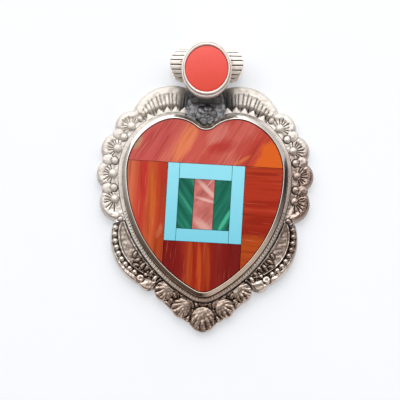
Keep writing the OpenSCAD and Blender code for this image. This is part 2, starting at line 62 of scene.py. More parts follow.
# %% [markdown]
# The camera comes first.
# The pendant lies on its back. It is seen from far above and a little from below the tip, so that the
# lower walls of the coral setting show, and it is turned slightly clockwise in the picture.

# %% Camera
photo_width = 74.0
camera_far = 600.0
camera_tilt = 8.0
picture_roll = 0.9
look_at = (-0.85, 0.83, 2.0)

eye = bpy.data.cameras.new("eye")
eye.sensor_width = 36
eye.lens = eye.sensor_width * camera_far / photo_width
eye.clip_start = 0.01
eye.clip_end = 5
camera = bpy.data.objects.new("camera", eye)
lean_back = math.radians(camera_tilt)
away = (0, -math.sin(lean_back), math.cos(lean_back))
camera.location = [(p + camera_far * a) * MM for p, a in zip(look_at, away)]
turn_eye = Matrix.Rotation(lean_back, 4, "X") @ Matrix.Rotation(math.radians(picture_roll), 4, "Z")
camera.rotation_euler = turn_eye.to_euler()
bpy.context.scene.collection.objects.link(camera)
bpy.context.scene.camera = camera
bpy.context.scene.view_settings.view_transform = "Standard"
print("camera lens", round(eye.lens, 1), "mm")

# %% [markdown]
# A node tree is easier to read when one helper adds a node, sets its options, and either fills an
# input with a value or links it to another node's output. The short helpers after it give the steps
# that every tree here is made of: a product, a scaled value, a range, a colour ramp and a mix.

# %% Helpers for node trees
def fill(tree, node, inputs):
    for name, value in inputs.items():
        if isinstance(value, bpy.types.NodeSocket):
            tree.links.new(value, node.inputs[name])
        else:
            node.inputs[name].default_value = value


def add(tree, kind, inputs, **settings):
    made = tree.nodes.new(kind)
    for name, value in settings.items():
        setattr(made, name, value)
    fill(tree, made, inputs)
    return made


def math_node(tree, operation, a, b, clamp=False):
    return add(tree, "ShaderNodeMath", {0: a, 1: b}, operation=operation, use_clamp=clamp).outputs[0]


def times(tree, a, b, clamp=False):
    return math_node(tree, "MULTIPLY", a, b, clamp)


def scaled(tree, value, factor, offset):
    return add(tree, "ShaderNodeMath", {0: value, 1: factor, 2: offset}, operation="MULTIPLY_ADD").outputs[0]


def between(tree, value, low, high, to_low=0.0, to_high=1.0):
    return add(tree, "ShaderNodeMapRange", {"Value": value, "From Min": low, "From Max": high,
                                            "To Min": to_low, "To Max": to_high}).outputs[0]


def ramp(tree, factor, stops):
    made = add(tree, "ShaderNodeValToRGB", {"Fac": factor})
    elements = made.color_ramp.elements
    while len(elements) < len(stops):
        elements.new(1.0)
    for element, (place, colour) in zip(elements, stops):
        element.position = place
        element.color = colour
    return made.outputs["Color"]


def mix(tree, factor, a, b, blend="MIX"):
    return add(tree, "ShaderNodeMix", {"Factor": factor, 6: a, 7: b}, data_type="RGBA",
               blend_type=blend).outputs[2]


def axis_of(tree, vector, axis):
    return add(tree, "ShaderNodeSeparateXYZ", {0: vector}).outputs[axis]


print("node helpers ready")

# %% [markdown]
# Every pattern is laid out in millimetres from the object's own place, so its scale has a meaning: a
# noise of scale 0.5 has blotches about 2 mm wide. The colours of stones are written as in a picture
# editor, from 0 to 255, and turned into the linear values that a shader works with.

# %% Helpers for materials
def linear(red, green, blue):
    shares = [c / 255 for c in (red, green, blue)]
    return [s / 12.92 if s <= 0.04045 else ((s + 0.055) / 1.055) ** 2.4 for s in shares] + [1.0]


def new_material(name):
    made = bpy.data.materials.new(name)
    made.use_nodes = True
    return made, made.node_tree, made.node_tree.nodes["Principled BSDF"]


def millimetres(tree, turn=0.0, scale=(1, 1, 1)):
    place = add(tree, "ShaderNodeTexCoord", {}).outputs["Object"]
    sizes = [s / MM for s in scale]
    turned = add(tree, "ShaderNodeMapping", {"Vector": place, "Rotation": (0, 0, math.radians(turn))})
    return add(tree, "ShaderNodeMapping", {"Vector": turned.outputs[0], "Scale": sizes}).outputs[0]


def stored(tree, name):
    return add(tree, "ShaderNodeAttribute", {}, attribute_name=name).outputs["Fac"]


def noise(tree, vector, scale, detail=3.0, rough=0.5):
    return add(tree, "ShaderNodeTexNoise", {"Vector": vector, "Scale": scale, "Detail": detail,
                                            "Roughness": rough}).outputs["Fac"]


def bump(tree, height, strength, depth):
    return add(tree, "ShaderNodeBump", {"Height": height, "Strength": strength, "Distance": depth}).outputs[0]


print("a grey of 128 is", round(linear(128, 128, 128)[0], 3), "in linear values")

# %% [markdown]
# The light decides how silver looks, because silver mostly shows what is round it. In the photograph
# the upper left is bright, the lower side is dark and warm, and something pale stands at the lower
# right and puts bright edges on the domes. A world that shades by direction does most of this. Two
# big soft lamps above the pendant, the stronger one at the left, model the relief.

# %% World and lamps
bright_side = (-0.40, 0.44, 0.80)
pale_side = (0.64, -0.66, 0.40)
lamp_width = 1.2
lamp_tint = (0.96, 0.985, 1.0)


def towards(tree, direction, side):
    facing = add(tree, "ShaderNodeVectorMath", {0: direction, 1: side}, operation="DOT_PRODUCT")
    return facing.outputs["Value"]


def studio_world():
    world = bpy.data.worlds.new("studio")
    world.use_nodes = True
    tree = world.node_tree
    tree.nodes.clear()
    direction = add(tree, "ShaderNodeTexCoord", {}).outputs["Generated"]
    level = scaled(tree, towards(tree, direction, bright_side), 0.5, 0.5)
    shade = ramp(tree, level, [(0.0, (0.06, 0.043, 0.036, 1)), (0.50, (0.085, 0.062, 0.052, 1)),
                               (0.68, (0.18, 0.14, 0.122, 1)), (0.80, (0.37, 0.325, 0.30, 1)),
                               (0.87, (0.55, 0.515, 0.495, 1)), (0.945, (0.96, 0.955, 0.95, 1)),
                               (1.0, (1.1, 1.1, 1.1, 1))])
    glow = between(tree, towards(tree, direction, pale_side), 0.72, 0.98, 0.0, 0.8)
    shade = mix(tree, glow, shade, (1.0, 0.95, 0.92, 1), "ADD")
    background = add(tree, "ShaderNodeBackground", {"Color": shade, "Strength": 1.0})
    add(tree, "ShaderNodeOutputWorld", {"Surface": background.outputs[0]})
    return world


def soft_lamp(name, place, energy):
    light = bpy.data.lights.new(name, "AREA")
    light.size = lamp_width
    light.energy = energy
    light.color = lamp_tint
    lamp = bpy.data.objects.new(name, light)
    lamp.location = place
    lamp.rotation_euler = lamp.location.to_track_quat("Z", "Y").to_euler()
    bpy.context.scene.collection.objects.link(lamp)
    print(name, energy, "W")


bpy.context.scene.world = studio_world()
soft_lamp("upper left lamp", (-0.22, 0.60, 0.50), 5.2)
soft_lamp("right lamp", (0.36, 0.60, 0.42), 4.8)

# %% [markdown]
# The pendant lies on a white sheet. The floor takes the soft shadow as a plain pale grey, and only the
# camera and the silver see it lifted to white, so no light is added on the pendant.

# %% Floor
floor_half, floor_level = 0.6, -0.0001
floor_lift = 0.395


def floor_material():
    made, tree, shader = new_material("white floor")
    fleck = noise(tree, millimetres(tree), 0.05)
    tint = ramp(tree, fleck, [(0.0, (0.55, 0.555, 0.56, 1)), (1.0, (0.57, 0.575, 0.58, 1))])
    path = add(tree, "ShaderNodeLightPath", {})
    seen = math_node(tree, "MAXIMUM", path.outputs["Is Camera Ray"], path.outputs["Is Glossy Ray"])
    fill(tree, shader, {"Base Color": tint, "Roughness": 0.9, "Emission Color": (0.92, 0.98, 1.05, 1),
                        "Emission Strength": times(tree, seen, floor_lift)})
    return made


floor_mesh = bpy.data.meshes.new("floor")
floor_corners = [(-1, -1), (1, -1), (1, 1), (-1, 1)]
floor_points = [(x * floor_half, y * floor_half, floor_level) for x, y in floor_corners]
floor_mesh.from_pydata(floor_points, [], [(0, 1, 2, 3)])
floor_mesh.materials.append(floor_material())
floor = bpy.data.objects.new("floor", floor_mesh)
bpy.context.scene.collection.objects.link(floor)
print("floor", 2 * floor_half, "m wide")

# %% [markdown]
# Silver has six finishes on this pendant. The struck border and the ribbed bail share a recipe: a
# soft cream lustre on the high places, dark in the recesses. That is the patina that a silversmith
# leaves on purpose, so each relief mesh carries a recess value that says how deep a point lies below
# what is round it. On top of it, painted shade makes the dark thinner at the upper left, where the
# light falls, and stronger and browner lower down.

# %% Struck and ribbed silver
def scratches(tree, scale):
    across = noise(tree, millimetres(tree, 24, (0.25, 6.0, 1.0)), scale, 2.0)
    along_it = noise(tree, millimetres(tree, -51, (0.3, 5.0, 1.0)), scale, 2.0)
    return times(tree, across, along_it)


def tone_and_painted_shade(tree, place, across, upward, dark, light):
    bright = ramp(tree, noise(tree, place, 0.4, 4.0), [(0.3, dark), (0.7, light)])
    # A random mottle of tarnish darkens the tone here and there.
    darkening = between(tree, noise(tree, place, 1.1, 5.0, 0.62), 0.5, 0.7, 0.0, 0.5)
    bright = mix(tree, darkening, bright, (0.66, 0.545, 0.44, 1), "MULTIPLY")
    # Painted shade: the lower side is tinted warmer and darker.
    painted_low_shade = times(tree, between(tree, upward, -10.0, -17.0, 0.0, 0.9),
                     between(tree, across, -2.0, 8.0, 1.0, 0.7))
    bright = mix(tree, painted_low_shade, bright, (0.88, 0.70, 0.62, 1), "MULTIPLY")
    # Painted shade: the right side, about halfway up, is tinted dark brown.
    middle = times(tree, between(tree, upward, 14.0, 6.0), between(tree, upward, -13.0, -8.0))
    painted_right_shade = times(tree, between(tree, across, 8.0, 18.0), middle)
    return mix(tree, painted_right_shade, bright, (0.48, 0.38, 0.355, 1), "MULTIPLY")


def patina_and_shade_colour(tree, patina_and_shade, lower):
    # Painted reflection: lower down the dark turns from grey to a warm brown.
    brown = ramp(tree, patina_and_shade, [(0.0, (0.405, 0.315, 0.262, 1)), (0.45, (0.205, 0.15, 0.12, 1)),
                              (0.86, (0.045, 0.035, 0.029, 1))])
    grey = ramp(tree, patina_and_shade, [(0.0, (0.38, 0.365, 0.355, 1)), (0.45, (0.17, 0.167, 0.17, 1)),
                             (0.86, (0.04, 0.04, 0.043, 1))])
    return mix(tree, between(tree, lower, -32.0, -14.0), grey, brown)


def silver_border(name, dark, light, metal, least_patina_and_shade):
    made, tree, shader = new_material(name)
    recess = stored(tree, "recess")
    place = millimetres(tree)
    across, upward = axis_of(tree, place, "X"), axis_of(tree, place, "Y")
    lower = scaled(tree, upward, -2.0, across)
    speck = noise(tree, place, 3.0, 3.0)
    recess_with_specks = math_node(tree, "ADD", recess, scaled(tree, speck, 0.6, -0.3))
    patina_and_shade = times(tree, recess_with_specks, math_node(tree, "GREATER_THAN", recess, 0.03))
    # Painted shade: the patina grows towards the lower right and is cut back at the upper left.
    patina_and_shade = times(tree, patina_and_shade, between(tree, lower, -44.0, 10.0, least_patina_and_shade, 0.76), True)
    lit_upper_left = times(tree, between(tree, across, -3.0, -10.0), between(tree, upward, 10.0, 14.0))
    patina_and_shade = times(tree, patina_and_shade, scaled(tree, lit_upper_left, -0.55, 1.0))
    bright = tone_and_painted_shade(tree, place, across, upward, dark, light)
    colour = mix(tree, between(tree, patina_and_shade, 0.0, 0.4), bright, patina_and_shade_colour(tree, patina_and_shade, lower))
    sheen = scaled(tree, speck, 0.2, between(tree, lower, -24.0, 16.0, 0.44, 0.07))
    dull = add(tree, "ShaderNodeMix", {"Factor": patina_and_shade, "A": sheen, "B": 0.6}, data_type="FLOAT")
    worn = math_node(tree, "ADD", speck, scratches(tree, 1.0))
    fill(tree, shader, {"Base Color": colour, "Metallic": between(tree, lower, -24.0, 16.0, metal, 1.0),
                        "Roughness": dull.outputs[0], "Normal": bump(tree, worn, 0.2, 0.00008)})
    return made


struck = silver_border("struck silver", (0.64, 0.595, 0.545, 1), (0.80, 0.755, 0.70, 1), 0.7, 0.28)
ribbed = silver_border("ribbed silver", (0.92, 0.845, 0.765, 1), (0.99, 0.93, 0.85, 1), 0.2, 0.9)
print("finishes:", struck.name, ribbed.name)

# %% [markdown]
# The bezels are polished, with fine scratches, and the coral's is duller from handling. Lower down the
# wall is painted warmer and darker, as shade. At the right and the lower left its slope is painted
# dark as shade, and the lip is left out of it, so the wall's mesh carries a lip value.

# %% Polished and handled silver
def silver_polished(name, dark, light, metal, dullness):
    made, tree, shader = new_material(name)
    place = millimetres(tree)
    smear = noise(tree, place, 0.5, 4.0)
    across, upward = axis_of(tree, place, "X"), axis_of(tree, place, "Y")
    # Painted shade: the wall is tinted warmer and darker lower down.
    painted_low_shade = between(tree, upward, 3.0, -8.0, 0.0, 0.8)
    tone = ramp(tree, smear, [(0.3, dark), (0.7, light)])
    tone = mix(tree, painted_low_shade, tone, (0.62, 0.50, 0.40, 1), "MULTIPLY")
    # Painted shade: the slopes at the right and the lower left are darkened, all but the lip.
    right = times(tree, between(tree, across, 7.0, 11.0), between(tree, upward, -8.0, -2.0))
    left = times(tree, between(tree, across, -6.0, -10.0), between(tree, upward, 4.0, -3.0, 0.0, 0.7))
    sides = math_node(tree, "MAXIMUM", right, left)
    darkening = math_node(tree, "SUBTRACT", sides, stored(tree, "lip"), True)
    tone = mix(tree, times(tree, darkening, 0.45), tone, (0.07, 0.066, 0.064, 1))
    fill(tree, shader, {"Base Color": tone, "Metallic": metal,
                        "Roughness": scaled(tree, smear, 0.16, dullness),
                        "Normal": bump(tree, scratches(tree, 1.6), 0.12, 0.00005)})
    return made


polished = silver_polished("polished silver", (0.74, 0.69, 0.645, 1), (0.87, 0.83, 0.79, 1), 1.0, 0.05)
handled = silver_polished("handled silver", (0.72, 0.65, 0.60, 1), (0.86, 0.79, 0.735, 1), 0.5, 0.14)
print("finishes:", polished.name, handled.name)

# %% [markdown]
# The hinge and the rosette are dark with oxide and painted nearly black as the shade under the coral, with
# worn grey on the high places. The back plate is satin, and its upper face, where that shows between the
# ornaments, is darkened by patina and painted shade.

# %% Oxidised and satin silver
def silver_dark():
    made, tree, shader = new_material("oxidised silver")
    cloud = noise(tree, millimetres(tree), 1.4, 4.0)
    # Nearly black: oxide together with the painted shade under the coral.
    worn = ramp(tree, cloud, [(0.35, (0.13, 0.132, 0.138, 1)), (0.75, (0.36, 0.365, 0.375, 1))])
    colour = mix(tree, stored(tree, "recess"), worn, (0.020, 0.020, 0.022, 1))
    fill(tree, shader, {"Base Color": colour, "Metallic": 0.9, "Roughness": scaled(tree, cloud, 0.3, 0.2),
                        "Normal": bump(tree, cloud, 0.25, 0.0001)})
    return made


def silver_plate():
    made, tree, shader = new_material("satin plate")
    place = millimetres(tree)
    face = between(tree, axis_of(tree, place, "Z"), plate_top - 0.12, plate_top - 0.01)
    cloud = noise(tree, place, 0.4, 5.0)
    satin_tint = ramp(tree, cloud, [(0.3, (0.62, 0.58, 0.54, 1)), (0.7, (0.80, 0.76, 0.71, 1))])
    blotch = noise(tree, place, 1.3, 5.0)
    # The upper face is dark grey: patina, and painted shade in the gaps and under the coral.
    shade_and_patina = ramp(tree, blotch, [(0.35, (0.09, 0.09, 0.097, 1)), (0.7, (0.52, 0.52, 0.545, 1))])
    fill(tree, shader, {"Base Color": mix(tree, face, satin_tint, shade_and_patina), "Metallic": 0.95,
                        "Roughness": scaled(tree, cloud, 0.3, 0.25),
                        "Normal": bump(tree, scratches(tree, 0.8), 0.25, 0.00008)})
    return made


oxide_and_shade = silver_dark()
satin = silver_plate()
print("finishes:", oxide_and_shade.name, satin.name)

# %% [markdown]
# The heart is drawn with five arcs that meet without a corner: tip, long side, shoulder, crown and
# cleft. Any line that runs beside it at a constant distance is the same arcs with other radii, so
# the bezel, the strip and the whole border can be placed by a direction and a distance.

# %% Heart outline
half_w, wide_y = 14.4, 5.8
side_r, shoulder_r, crown_r, cleft_r, tip_r = 25.0, 10.2, 6.3, 2.6, 3.0
crown_turn = 67.0


def unit(turn):
    angle = np.radians(turn)
    return np.stack([np.cos(angle), np.sin(angle)], -1)


side_c = np.array([half_w - side_r, wide_y])
shoulder_c = np.array([half_w - shoulder_r, wide_y])
crown_c = shoulder_c + (shoulder_r - crown_r) * unit(crown_turn)
cleft_c = np.array([0, crown_c[1] + math.sqrt((crown_r + cleft_r) ** 2 - crown_c[0] ** 2)])
tip_c = np.array([0, wide_y - math.sqrt((side_r - tip_r) ** 2 - side_c[0] ** 2)])
cleft_turn = math.degrees(math.atan2(cleft_c[1] - crown_c[1], -crown_c[0]))
tip_turn = math.degrees(math.atan2(tip_c[1] - side_c[1], -side_c[0]))


def heart_arc(turn):
    turn = np.asarray(turn, float)
    conditions = [turn >= crown_turn, turn >= 0, turn >= tip_turn]
    radius = np.select(conditions, [crown_r, shoulder_r, side_r], tip_r)
    centres = np.array([crown_c, shoulder_c, side_c])
    centre = np.stack([np.select(conditions, list(centres[:, k]), tip_c[k]) for k in (0, 1)], -1)
    return centre, radius


def edge_at(turns, out):
    centre, radius = heart_arc(turns)
    return centre + (radius + out)[..., None] * unit(turns)


def heart_half(out, step):
    arcs = [(tip_c, tip_r + out, -90, tip_turn), (side_c, side_r + out, tip_turn, 0),
            (shoulder_c, shoulder_r + out, 0, crown_turn), (crown_c, crown_r + out, crown_turn, cleft_turn),
            (cleft_c, cleft_r - out, cleft_turn - 180, -90)]
    points = []
    for centre, radius, start, stop in arcs:
        count = max(3, int(abs(math.radians(stop - start)) * radius / step))
        points.append(centre + radius * unit(np.linspace(start, stop, count, endpoint=False)))
    return np.concatenate(points + [cleft_c[None] + [[0, out - cleft_r]]])


def heart_loop(out, step):
    half = heart_half(out, step)
    return np.concatenate([half, half[-2:0:-1] * [-1, 1]])


print("heart outline from", np.round(heart_loop(0, 1).min(0), 2), "to", np.round(heart_loop(0, 1).max(0), 2))

# %% [markdown]
# Every piece is finished in the same way: its mesh is closed, its faces look outward, and it rides on
# one of the two bodies in the place of a solid of the frame. These helpers turn points and faces into
# such a mesh, store a value on its points, join meshes, and hand a piece over to the frame.

# %% Helpers for pieces
def mark_points(mesh, label, numbers):
    values = np.asarray(numbers, np.float32).ravel()
    mesh.attributes.new(label, "FLOAT", "POINT").data.foreach_set("value", values)


def with_bmesh(mesh, change):
    work = bmesh.new()
    work.from_mesh(mesh)
    change(work)
    work.to_mesh(mesh)
    work.free()


def face_outward(mesh, sharp):
    with_bmesh(mesh, lambda work: bmesh.ops.recalc_face_normals(work, faces=work.faces))
    mesh.shade_smooth()
    mesh.set_sharp_from_angle(angle=math.radians(sharp))


def solid_mesh(name, points, faces, material, sharp=45):
    mesh = bpy.data.meshes.new(name)
    mesh.from_pydata([tuple(c * MM for c in p) for p in points], [], faces)
    mesh.materials.append(material)
    face_outward(mesh, sharp)
    return mesh


def join(name, *meshes):
    joined = bpy.data.meshes.new(name)
    work = bmesh.new()
    for mesh in meshes:
        work.from_mesh(mesh)
    work.to_mesh(joined)
    work.free()
    joined.materials.append(meshes[0].materials[0])
    return joined


def to_object(name, mesh, body, stands_for):
    piece = bpy.data.objects.new(name, mesh)
    bpy.context.scene.collection.objects.link(piece)
    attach(piece, body)
    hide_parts(stands_for)
    print(name, sum(len(p.vertices) - 2 for p in mesh.polygons), "triangles")


print("piece helpers ready")

# %% [markdown]
# What repeats or follows a path is grown by a node tree. Its carrier is a mesh of bare points, or of
# points joined to a path. The tree ends with the same three steps each time, and the result is kept
# as a plain mesh. A tree's inputs are set by their identifiers.

# %% Helpers for grown pieces
def raised(points, level):
    return np.c_[points, np.full(len(points), level)]


def point_mesh(name, points, edges=(), **values):
    mesh = bpy.data.meshes.new(name)
    mesh.from_pydata([tuple(float(c) * MM for c in p) for p in points], list(edges), [])
    for label, numbers in values.items():
        mark_points(mesh, label, numbers)
    return mesh


def new_tree(name, sizes):
    tree = bpy.data.node_groups.new(name, "GeometryNodeTree")
    tree.interface.new_socket("Geometry", in_out="INPUT", socket_type="NodeSocketGeometry")
    for label in sizes:
        tree.interface.new_socket(label, in_out="INPUT", socket_type="NodeSocketFloat")
    tree.interface.new_socket("Material", in_out="INPUT", socket_type="NodeSocketMaterial")
    tree.interface.new_socket("Geometry", in_out="OUTPUT", socket_type="NodeSocketGeometry")
    return tree, tree.nodes.new("NodeGroupInput")


def close_tree(tree, start, geometry):
    real = add(tree, "GeometryNodeRealizeInstances", {"Geometry": geometry})
    smooth_faces = add(tree, "GeometryNodeSetShadeSmooth", {"Geometry": real.outputs[0]})
    coated = add(tree, "GeometryNodeSetMaterial", {"Geometry": smooth_faces.outputs[0],
                                                   "Material": start.outputs["Material"]})
    add(tree, "NodeGroupOutput", {0: coated.outputs[0]})
    return tree


def vector(tree, **parts):
    return add(tree, "ShaderNodeCombineXYZ", parts).outputs[0]


def marked(tree, geometry, name, value):
    return add(tree, "GeometryNodeStoreNamedAttribute", {"Geometry": geometry, "Name": name, "Value": value},
               data_type="FLOAT").outputs[0]


def grow(name, carrier, tree, values, material):
    holder = bpy.data.objects.new("holder", carrier)
    bpy.context.scene.collection.objects.link(holder)
    modifier = holder.modifiers.new("shape", "NODES")
    modifier.node_group = tree
    settings = {**values, "Material": material}
    for item in tree.interface.items_tree:
        if item.in_out == "INPUT" and item.name in settings:
            modifier[item.identifier] = settings[item.name]
    sight = bpy.context.evaluated_depsgraph_get()
    made = bpy.data.meshes.new_from_object(holder.evaluated_get(sight), depsgraph=sight)
    holder.modifiers.remove(modifier)
    bpy.data.objects.remove(holder)
    made.name = name
    made.materials.clear()
    made.materials.append(material)
    made.polygons.foreach_set("material_index", [0] * len(made.polygons))
    face_outward(made, 45)
    return made


print("growing helpers ready")

# %% [markdown]
# The heart bezel is a strip of silver bent round the stones and burnished over their edge, so its
# outer face leans in towards a narrow lip. A cross-section swept along a path is just how the smith
# makes it. One node tree does it: it takes the path, the width at the foot, the height of the outer
# shoulder, the height and the inset of the lip, and a rounding. It marks the lip for the finish.

# %% Heart bezel
def wall_tree():
    tree, start = new_tree("Wall along a path", ["Width", "Shoulder", "Height", "Lip", "Rounding"])
    path = add(tree, "GeometryNodeMeshToCurve", {"Mesh": start.outputs["Geometry"]})
    upright = add(tree, "GeometryNodeSetCurveNormal", {"Curve": path.outputs[0]}, mode="Z_UP")
    shoulder = times(tree, start.outputs["Shoulder"], -1.0)
    top = times(tree, start.outputs["Height"], -1.0)
    section = add(tree, "GeometryNodeCurvePrimitiveQuadrilateral", {
        "Point 1": (0, 0, 0), "Point 2": vector(tree, X=start.outputs["Width"]),
        "Point 3": vector(tree, X=start.outputs["Width"], Y=shoulder),
        "Point 4": vector(tree, X=start.outputs["Lip"], Y=top)}, mode="POINTS")
    rounded = add(tree, "GeometryNodeFilletCurve", {
        "Curve": section.outputs[0], "Count": 6, "Limit Radius": True,
        "Radius": start.outputs["Rounding"]}, mode="POLY")
    spot = add(tree, "GeometryNodeInputPosition", {}).outputs[0]
    near_edge = between(tree, axis_of(tree, spot, "X"), 0.26 * MM, 0.1 * MM)
    high = math_node(tree, "LESS_THAN", axis_of(tree, spot, "Y"), times(tree, top, 0.6))
    profile = marked(tree, rounded.outputs[0], "lip", times(tree, near_edge, high))
    swept = add(tree, "GeometryNodeCurveToMesh", {"Curve": upright.outputs[0], "Fill Caps": True,
                                                  "Profile Curve": profile})
    return close_tree(tree, start, swept.outputs[0])


def path_mesh(name, points, closed, **values):
    count = len(points)
    edges = [(i, (i + 1) % count) for i in range(count if closed else count - 1)]
    return point_mesh(name, raised(points, plate_top), edges, **values)


def metres(**sizes):
    return {label.replace("_", " ").capitalize(): size * MM for label, size in sizes.items()}


wall = wall_tree()
bezel_path = path_mesh("bezel path", heart_loop(0.0, 0.22), True)
bezel_sizes = metres(width=0.88, shoulder=2.2, height=2.8, lip=0.08, rounding=0.13)
bezel = grow("bezel_ring", bezel_path, wall, bezel_sizes, polished)
to_object("bezel_ring", bezel, "pendant", "heart_bezel")
bezel_spots = np.array([v.co for v in bezel.vertices]) / MM
print("bezel from", np.round(bezel_spots.min(0), 2), "to", np.round(bezel_spots.max(0), 2))

# %% [markdown]
# Outside the bezel runs a low gallery strip, a sweep with the same tree as the bezel. It is darker
# towards the cleft and towards the tip: patina, and at the cleft painted shade under the coral.

# %% Gallery strip
def along(first, last, out, step):
    fine = np.linspace(first, last, 4000)
    points = edge_at(fine, out)
    run = np.r_[0, np.cumsum(np.hypot(*np.diff(points, axis=0).T))]
    count = max(2, int(round(run[-1] / step)) + 1)
    return np.interp(np.linspace(0, run[-1], count), run, fine)


strip_in, strip_w, strip_h = 0.93, 0.77, 0.95
strip_out = strip_in + strip_w
crest_from, crest_to = 103.0, 54.0
strip_turns = along(-90, crest_from + 1, strip_in, 0.25)
right_run = edge_at(strip_turns, strip_in)
strip_run = np.concatenate([right_run[:0:-1] * [-1, 1], right_run])
# Patina, and near the cleft painted shade under the coral, darken the strip along its run.
shade_turns, shades = [-90, -50, -20, 20, 55, 65, 104], [0.35, 0.2, 0.06, 0.0, 0.06, 0.6, 0.8]
right_shade = np.interp(strip_turns, shade_turns, shades)
strip_path = path_mesh("strip path", strip_run, False, recess=np.r_[right_shade[:0:-1], right_shade])
strip_sizes = metres(width=strip_w, shoulder=strip_h, height=strip_h, lip=0.0, rounding=0.12)
band = grow("band", strip_path, wall, strip_sizes, struck)
print("strip path:", len(strip_run), "points")

# %% [markdown]
# Under each crest the strip is cut to sawteeth, and its lower half carries a row of fine grains. A
# tooth is a flat four-sided point, so one tree sets such points along the lobes, each turned outwards.
# Another tree sets a small ball on every point, with its size taken from the point. It makes the
# grains here, and the balls of the fans and swags later on.

# %% Sawteeth and grains
def point_value(tree, name):
    return add(tree, "GeometryNodeInputNamedAttribute", {"Name": name}, data_type="FLOAT").outputs[0]


def spread_copies(tree, start, **inputs):
    spread = add(tree, "GeometryNodeInstanceOnPoints", {"Points": start.outputs["Geometry"], **inputs})
    return close_tree(tree, start, spread.outputs[0])


def round_copy(tree, segments, rings, foot_from, foot_to):
    ball = add(tree, "GeometryNodeMeshUVSphere", {"Segments": segments, "Rings": rings, "Radius": 1.0})
    level = axis_of(tree, add(tree, "GeometryNodeInputPosition", {}).outputs[0], "Z")
    # The lower part of each copy is marked as recess, which paints a shade at its foot.
    return marked(tree, ball.outputs["Mesh"], "recess", between(tree, level, foot_from, foot_to))


def teeth_tree():
    tree, start = new_tree("Sawteeth", ["Half width", "Half height", "Length"])
    tooth = add(tree, "GeometryNodeMeshCone", {"Vertices": 4, "Radius Bottom": 1.0, "Radius Top": 0.1,
                                               "Depth": 1.0, "Side Segments": 3}).outputs["Mesh"]
    lie = vector(tree, Y=math.pi / 2, Z=point_value(tree, "turn"))
    size = vector(tree, X=start.outputs["Half height"], Y=start.outputs["Half width"],
                  Z=start.outputs["Length"])
    return spread_copies(tree, start, Instance=tooth, Rotation=lie, Scale=size)


def ball_tree(segments, rings):
    tree, start = new_tree("Balls on points", ["Flatness"])
    ball = round_copy(tree, segments, rings, -0.1, -0.7)
    size = point_value(tree, "size")
    tall = times(tree, size, start.outputs["Flatness"])
    return spread_copies(tree, start, Instance=ball, Scale=vector(tree, X=size, Y=size, Z=tall))


def both(points):
    return np.concatenate([points, points * [-1, 1, 1]])


def grow_balls(name, points, radius, tree, flatness):
    places = point_mesh(f"{name} places", points, size=[radius * MM] * len(points))
    return grow(name, places, tree, {"Flatness": flatness}, struck)


tooth_count, tooth_l, tooth_bite, tooth_level = 5, 0.8, 0.15, 0.92
grain_r, grain_out, grain_pitch = 0.21, 0.36, 0.6
tooth_turns = np.linspace(crest_from - 1.5, crest_to + 5, tooth_count)
tooth_points = both(raised(edge_at(tooth_turns, strip_out - tooth_bite), plate_top + tooth_level))
tooth_angles = np.radians(np.r_[tooth_turns, 180 - tooth_turns])
tooth_places = point_mesh("tooth places", tooth_points, turn=tooth_angles)
tooth_sizes = metres(half_width=0.8, half_height=0.28, length=tooth_l + 0.25)
sawteeth = grow("sawteeth", tooth_places, teeth_tree(), tooth_sizes, struck)

grain_turns = along(-16, -86, strip_in + strip_w / 2, grain_pitch)
grain_points = both(raised(edge_at(grain_turns, strip_in + grain_out), plate_top + strip_h))
grains = grow_balls("grains", grain_points, grain_r, ball_tree(10, 6), 0.8)
gallery = join("gallery_and_teeth", band, sawteeth, grains)
to_object("gallery_and_teeth", gallery, "pendant", "gallery_strip")
print(len(tooth_points), "teeth,", len(grain_points), "grains")

# %% [markdown]
# The border is struck relief: crests over the lobes, shell fans at the sides, leaf swags and a tail
# below. Its edge is a row of circles, as on the frame's plate, and straight webs join the lowest ones.
# A ray from the heart finds how far out the edge lies in each direction.

# %% Border circles
def place_at(turn, out):
    return edge_at(np.array([turn]), out)[0]


def bridge(first, second, first_r, second_r, dip=0.25):
    shares = np.linspace(0, 1, 9)
    return [(first + (second - first) * s, first_r + (second_r - first_r) * s - dip) for s in shares]


crest_c, crest_r = crown_c + 5.2 * unit(84.0), 7.8
fan_turn = np.array([42, 20, -0.6, -11.5])
fan_r = np.array([3.0, 3.0, 3.0, 3.7])
fan_c = edge_at(fan_turn, np.array([2.7, 2.7, 2.7, 1.9]))
lobe_turn = (fan_turn[1:] + fan_turn[:-1]) / 2
lobe_c, lobe_r = edge_at(lobe_turn, 3.75), 1.1
swag_c, swag_r = place_at(-33.6, -2.8), 9.4
swag_from, swag_to = -19.5, -46.5
foot_c, foot_r = place_at(-44.0, 3.85), 1.9
scroll_c, scroll_r = place_at(-51.2, 3.1), 2.0
scroll_low_c, scroll_low_r = tip_c + (tip_r + 3.8) * unit(-56.0), 2.0
tail_c, tail_r = tip_c - [0, tip_r + 4.65], 2.5
edge_circles = [(crest_c, crest_r), *zip(fan_c, fan_r), *[(c, lobe_r) for c in lobe_c], (swag_c, swag_r),
                (foot_c, foot_r), (scroll_c, scroll_r), (scroll_low_c, scroll_low_r), (tail_c, tail_r),
                *bridge(scroll_c, scroll_low_c, scroll_r, scroll_low_r),
                *bridge(scroll_low_c, tail_c, scroll_low_r, tail_r)]


def outer_reach(turns):
    centre, radius = heart_arc(turns)
    ray = unit(turns)
    best = np.full(len(turns), strip_out + tooth_l)
    for circle_c, circle_r in edge_circles:
        gap = circle_c - centre
        ahead = (gap * ray).sum(1)
        inside = ahead ** 2 - (gap ** 2).sum(1) + circle_r ** 2
        best = np.where(inside > 0, np.maximum(best, ahead + np.sqrt(np.maximum(inside, 0)) - radius), best)
    return best


edge_turns = along(crest_from + 14, -104, 3.0, 0.03)
edge_line = edge_at(edge_turns, outer_reach(edge_turns))
print("border edge:", round(float(np.ptp(edge_line[:, 1])), 1), "mm tall,", len(edge_line), "points")

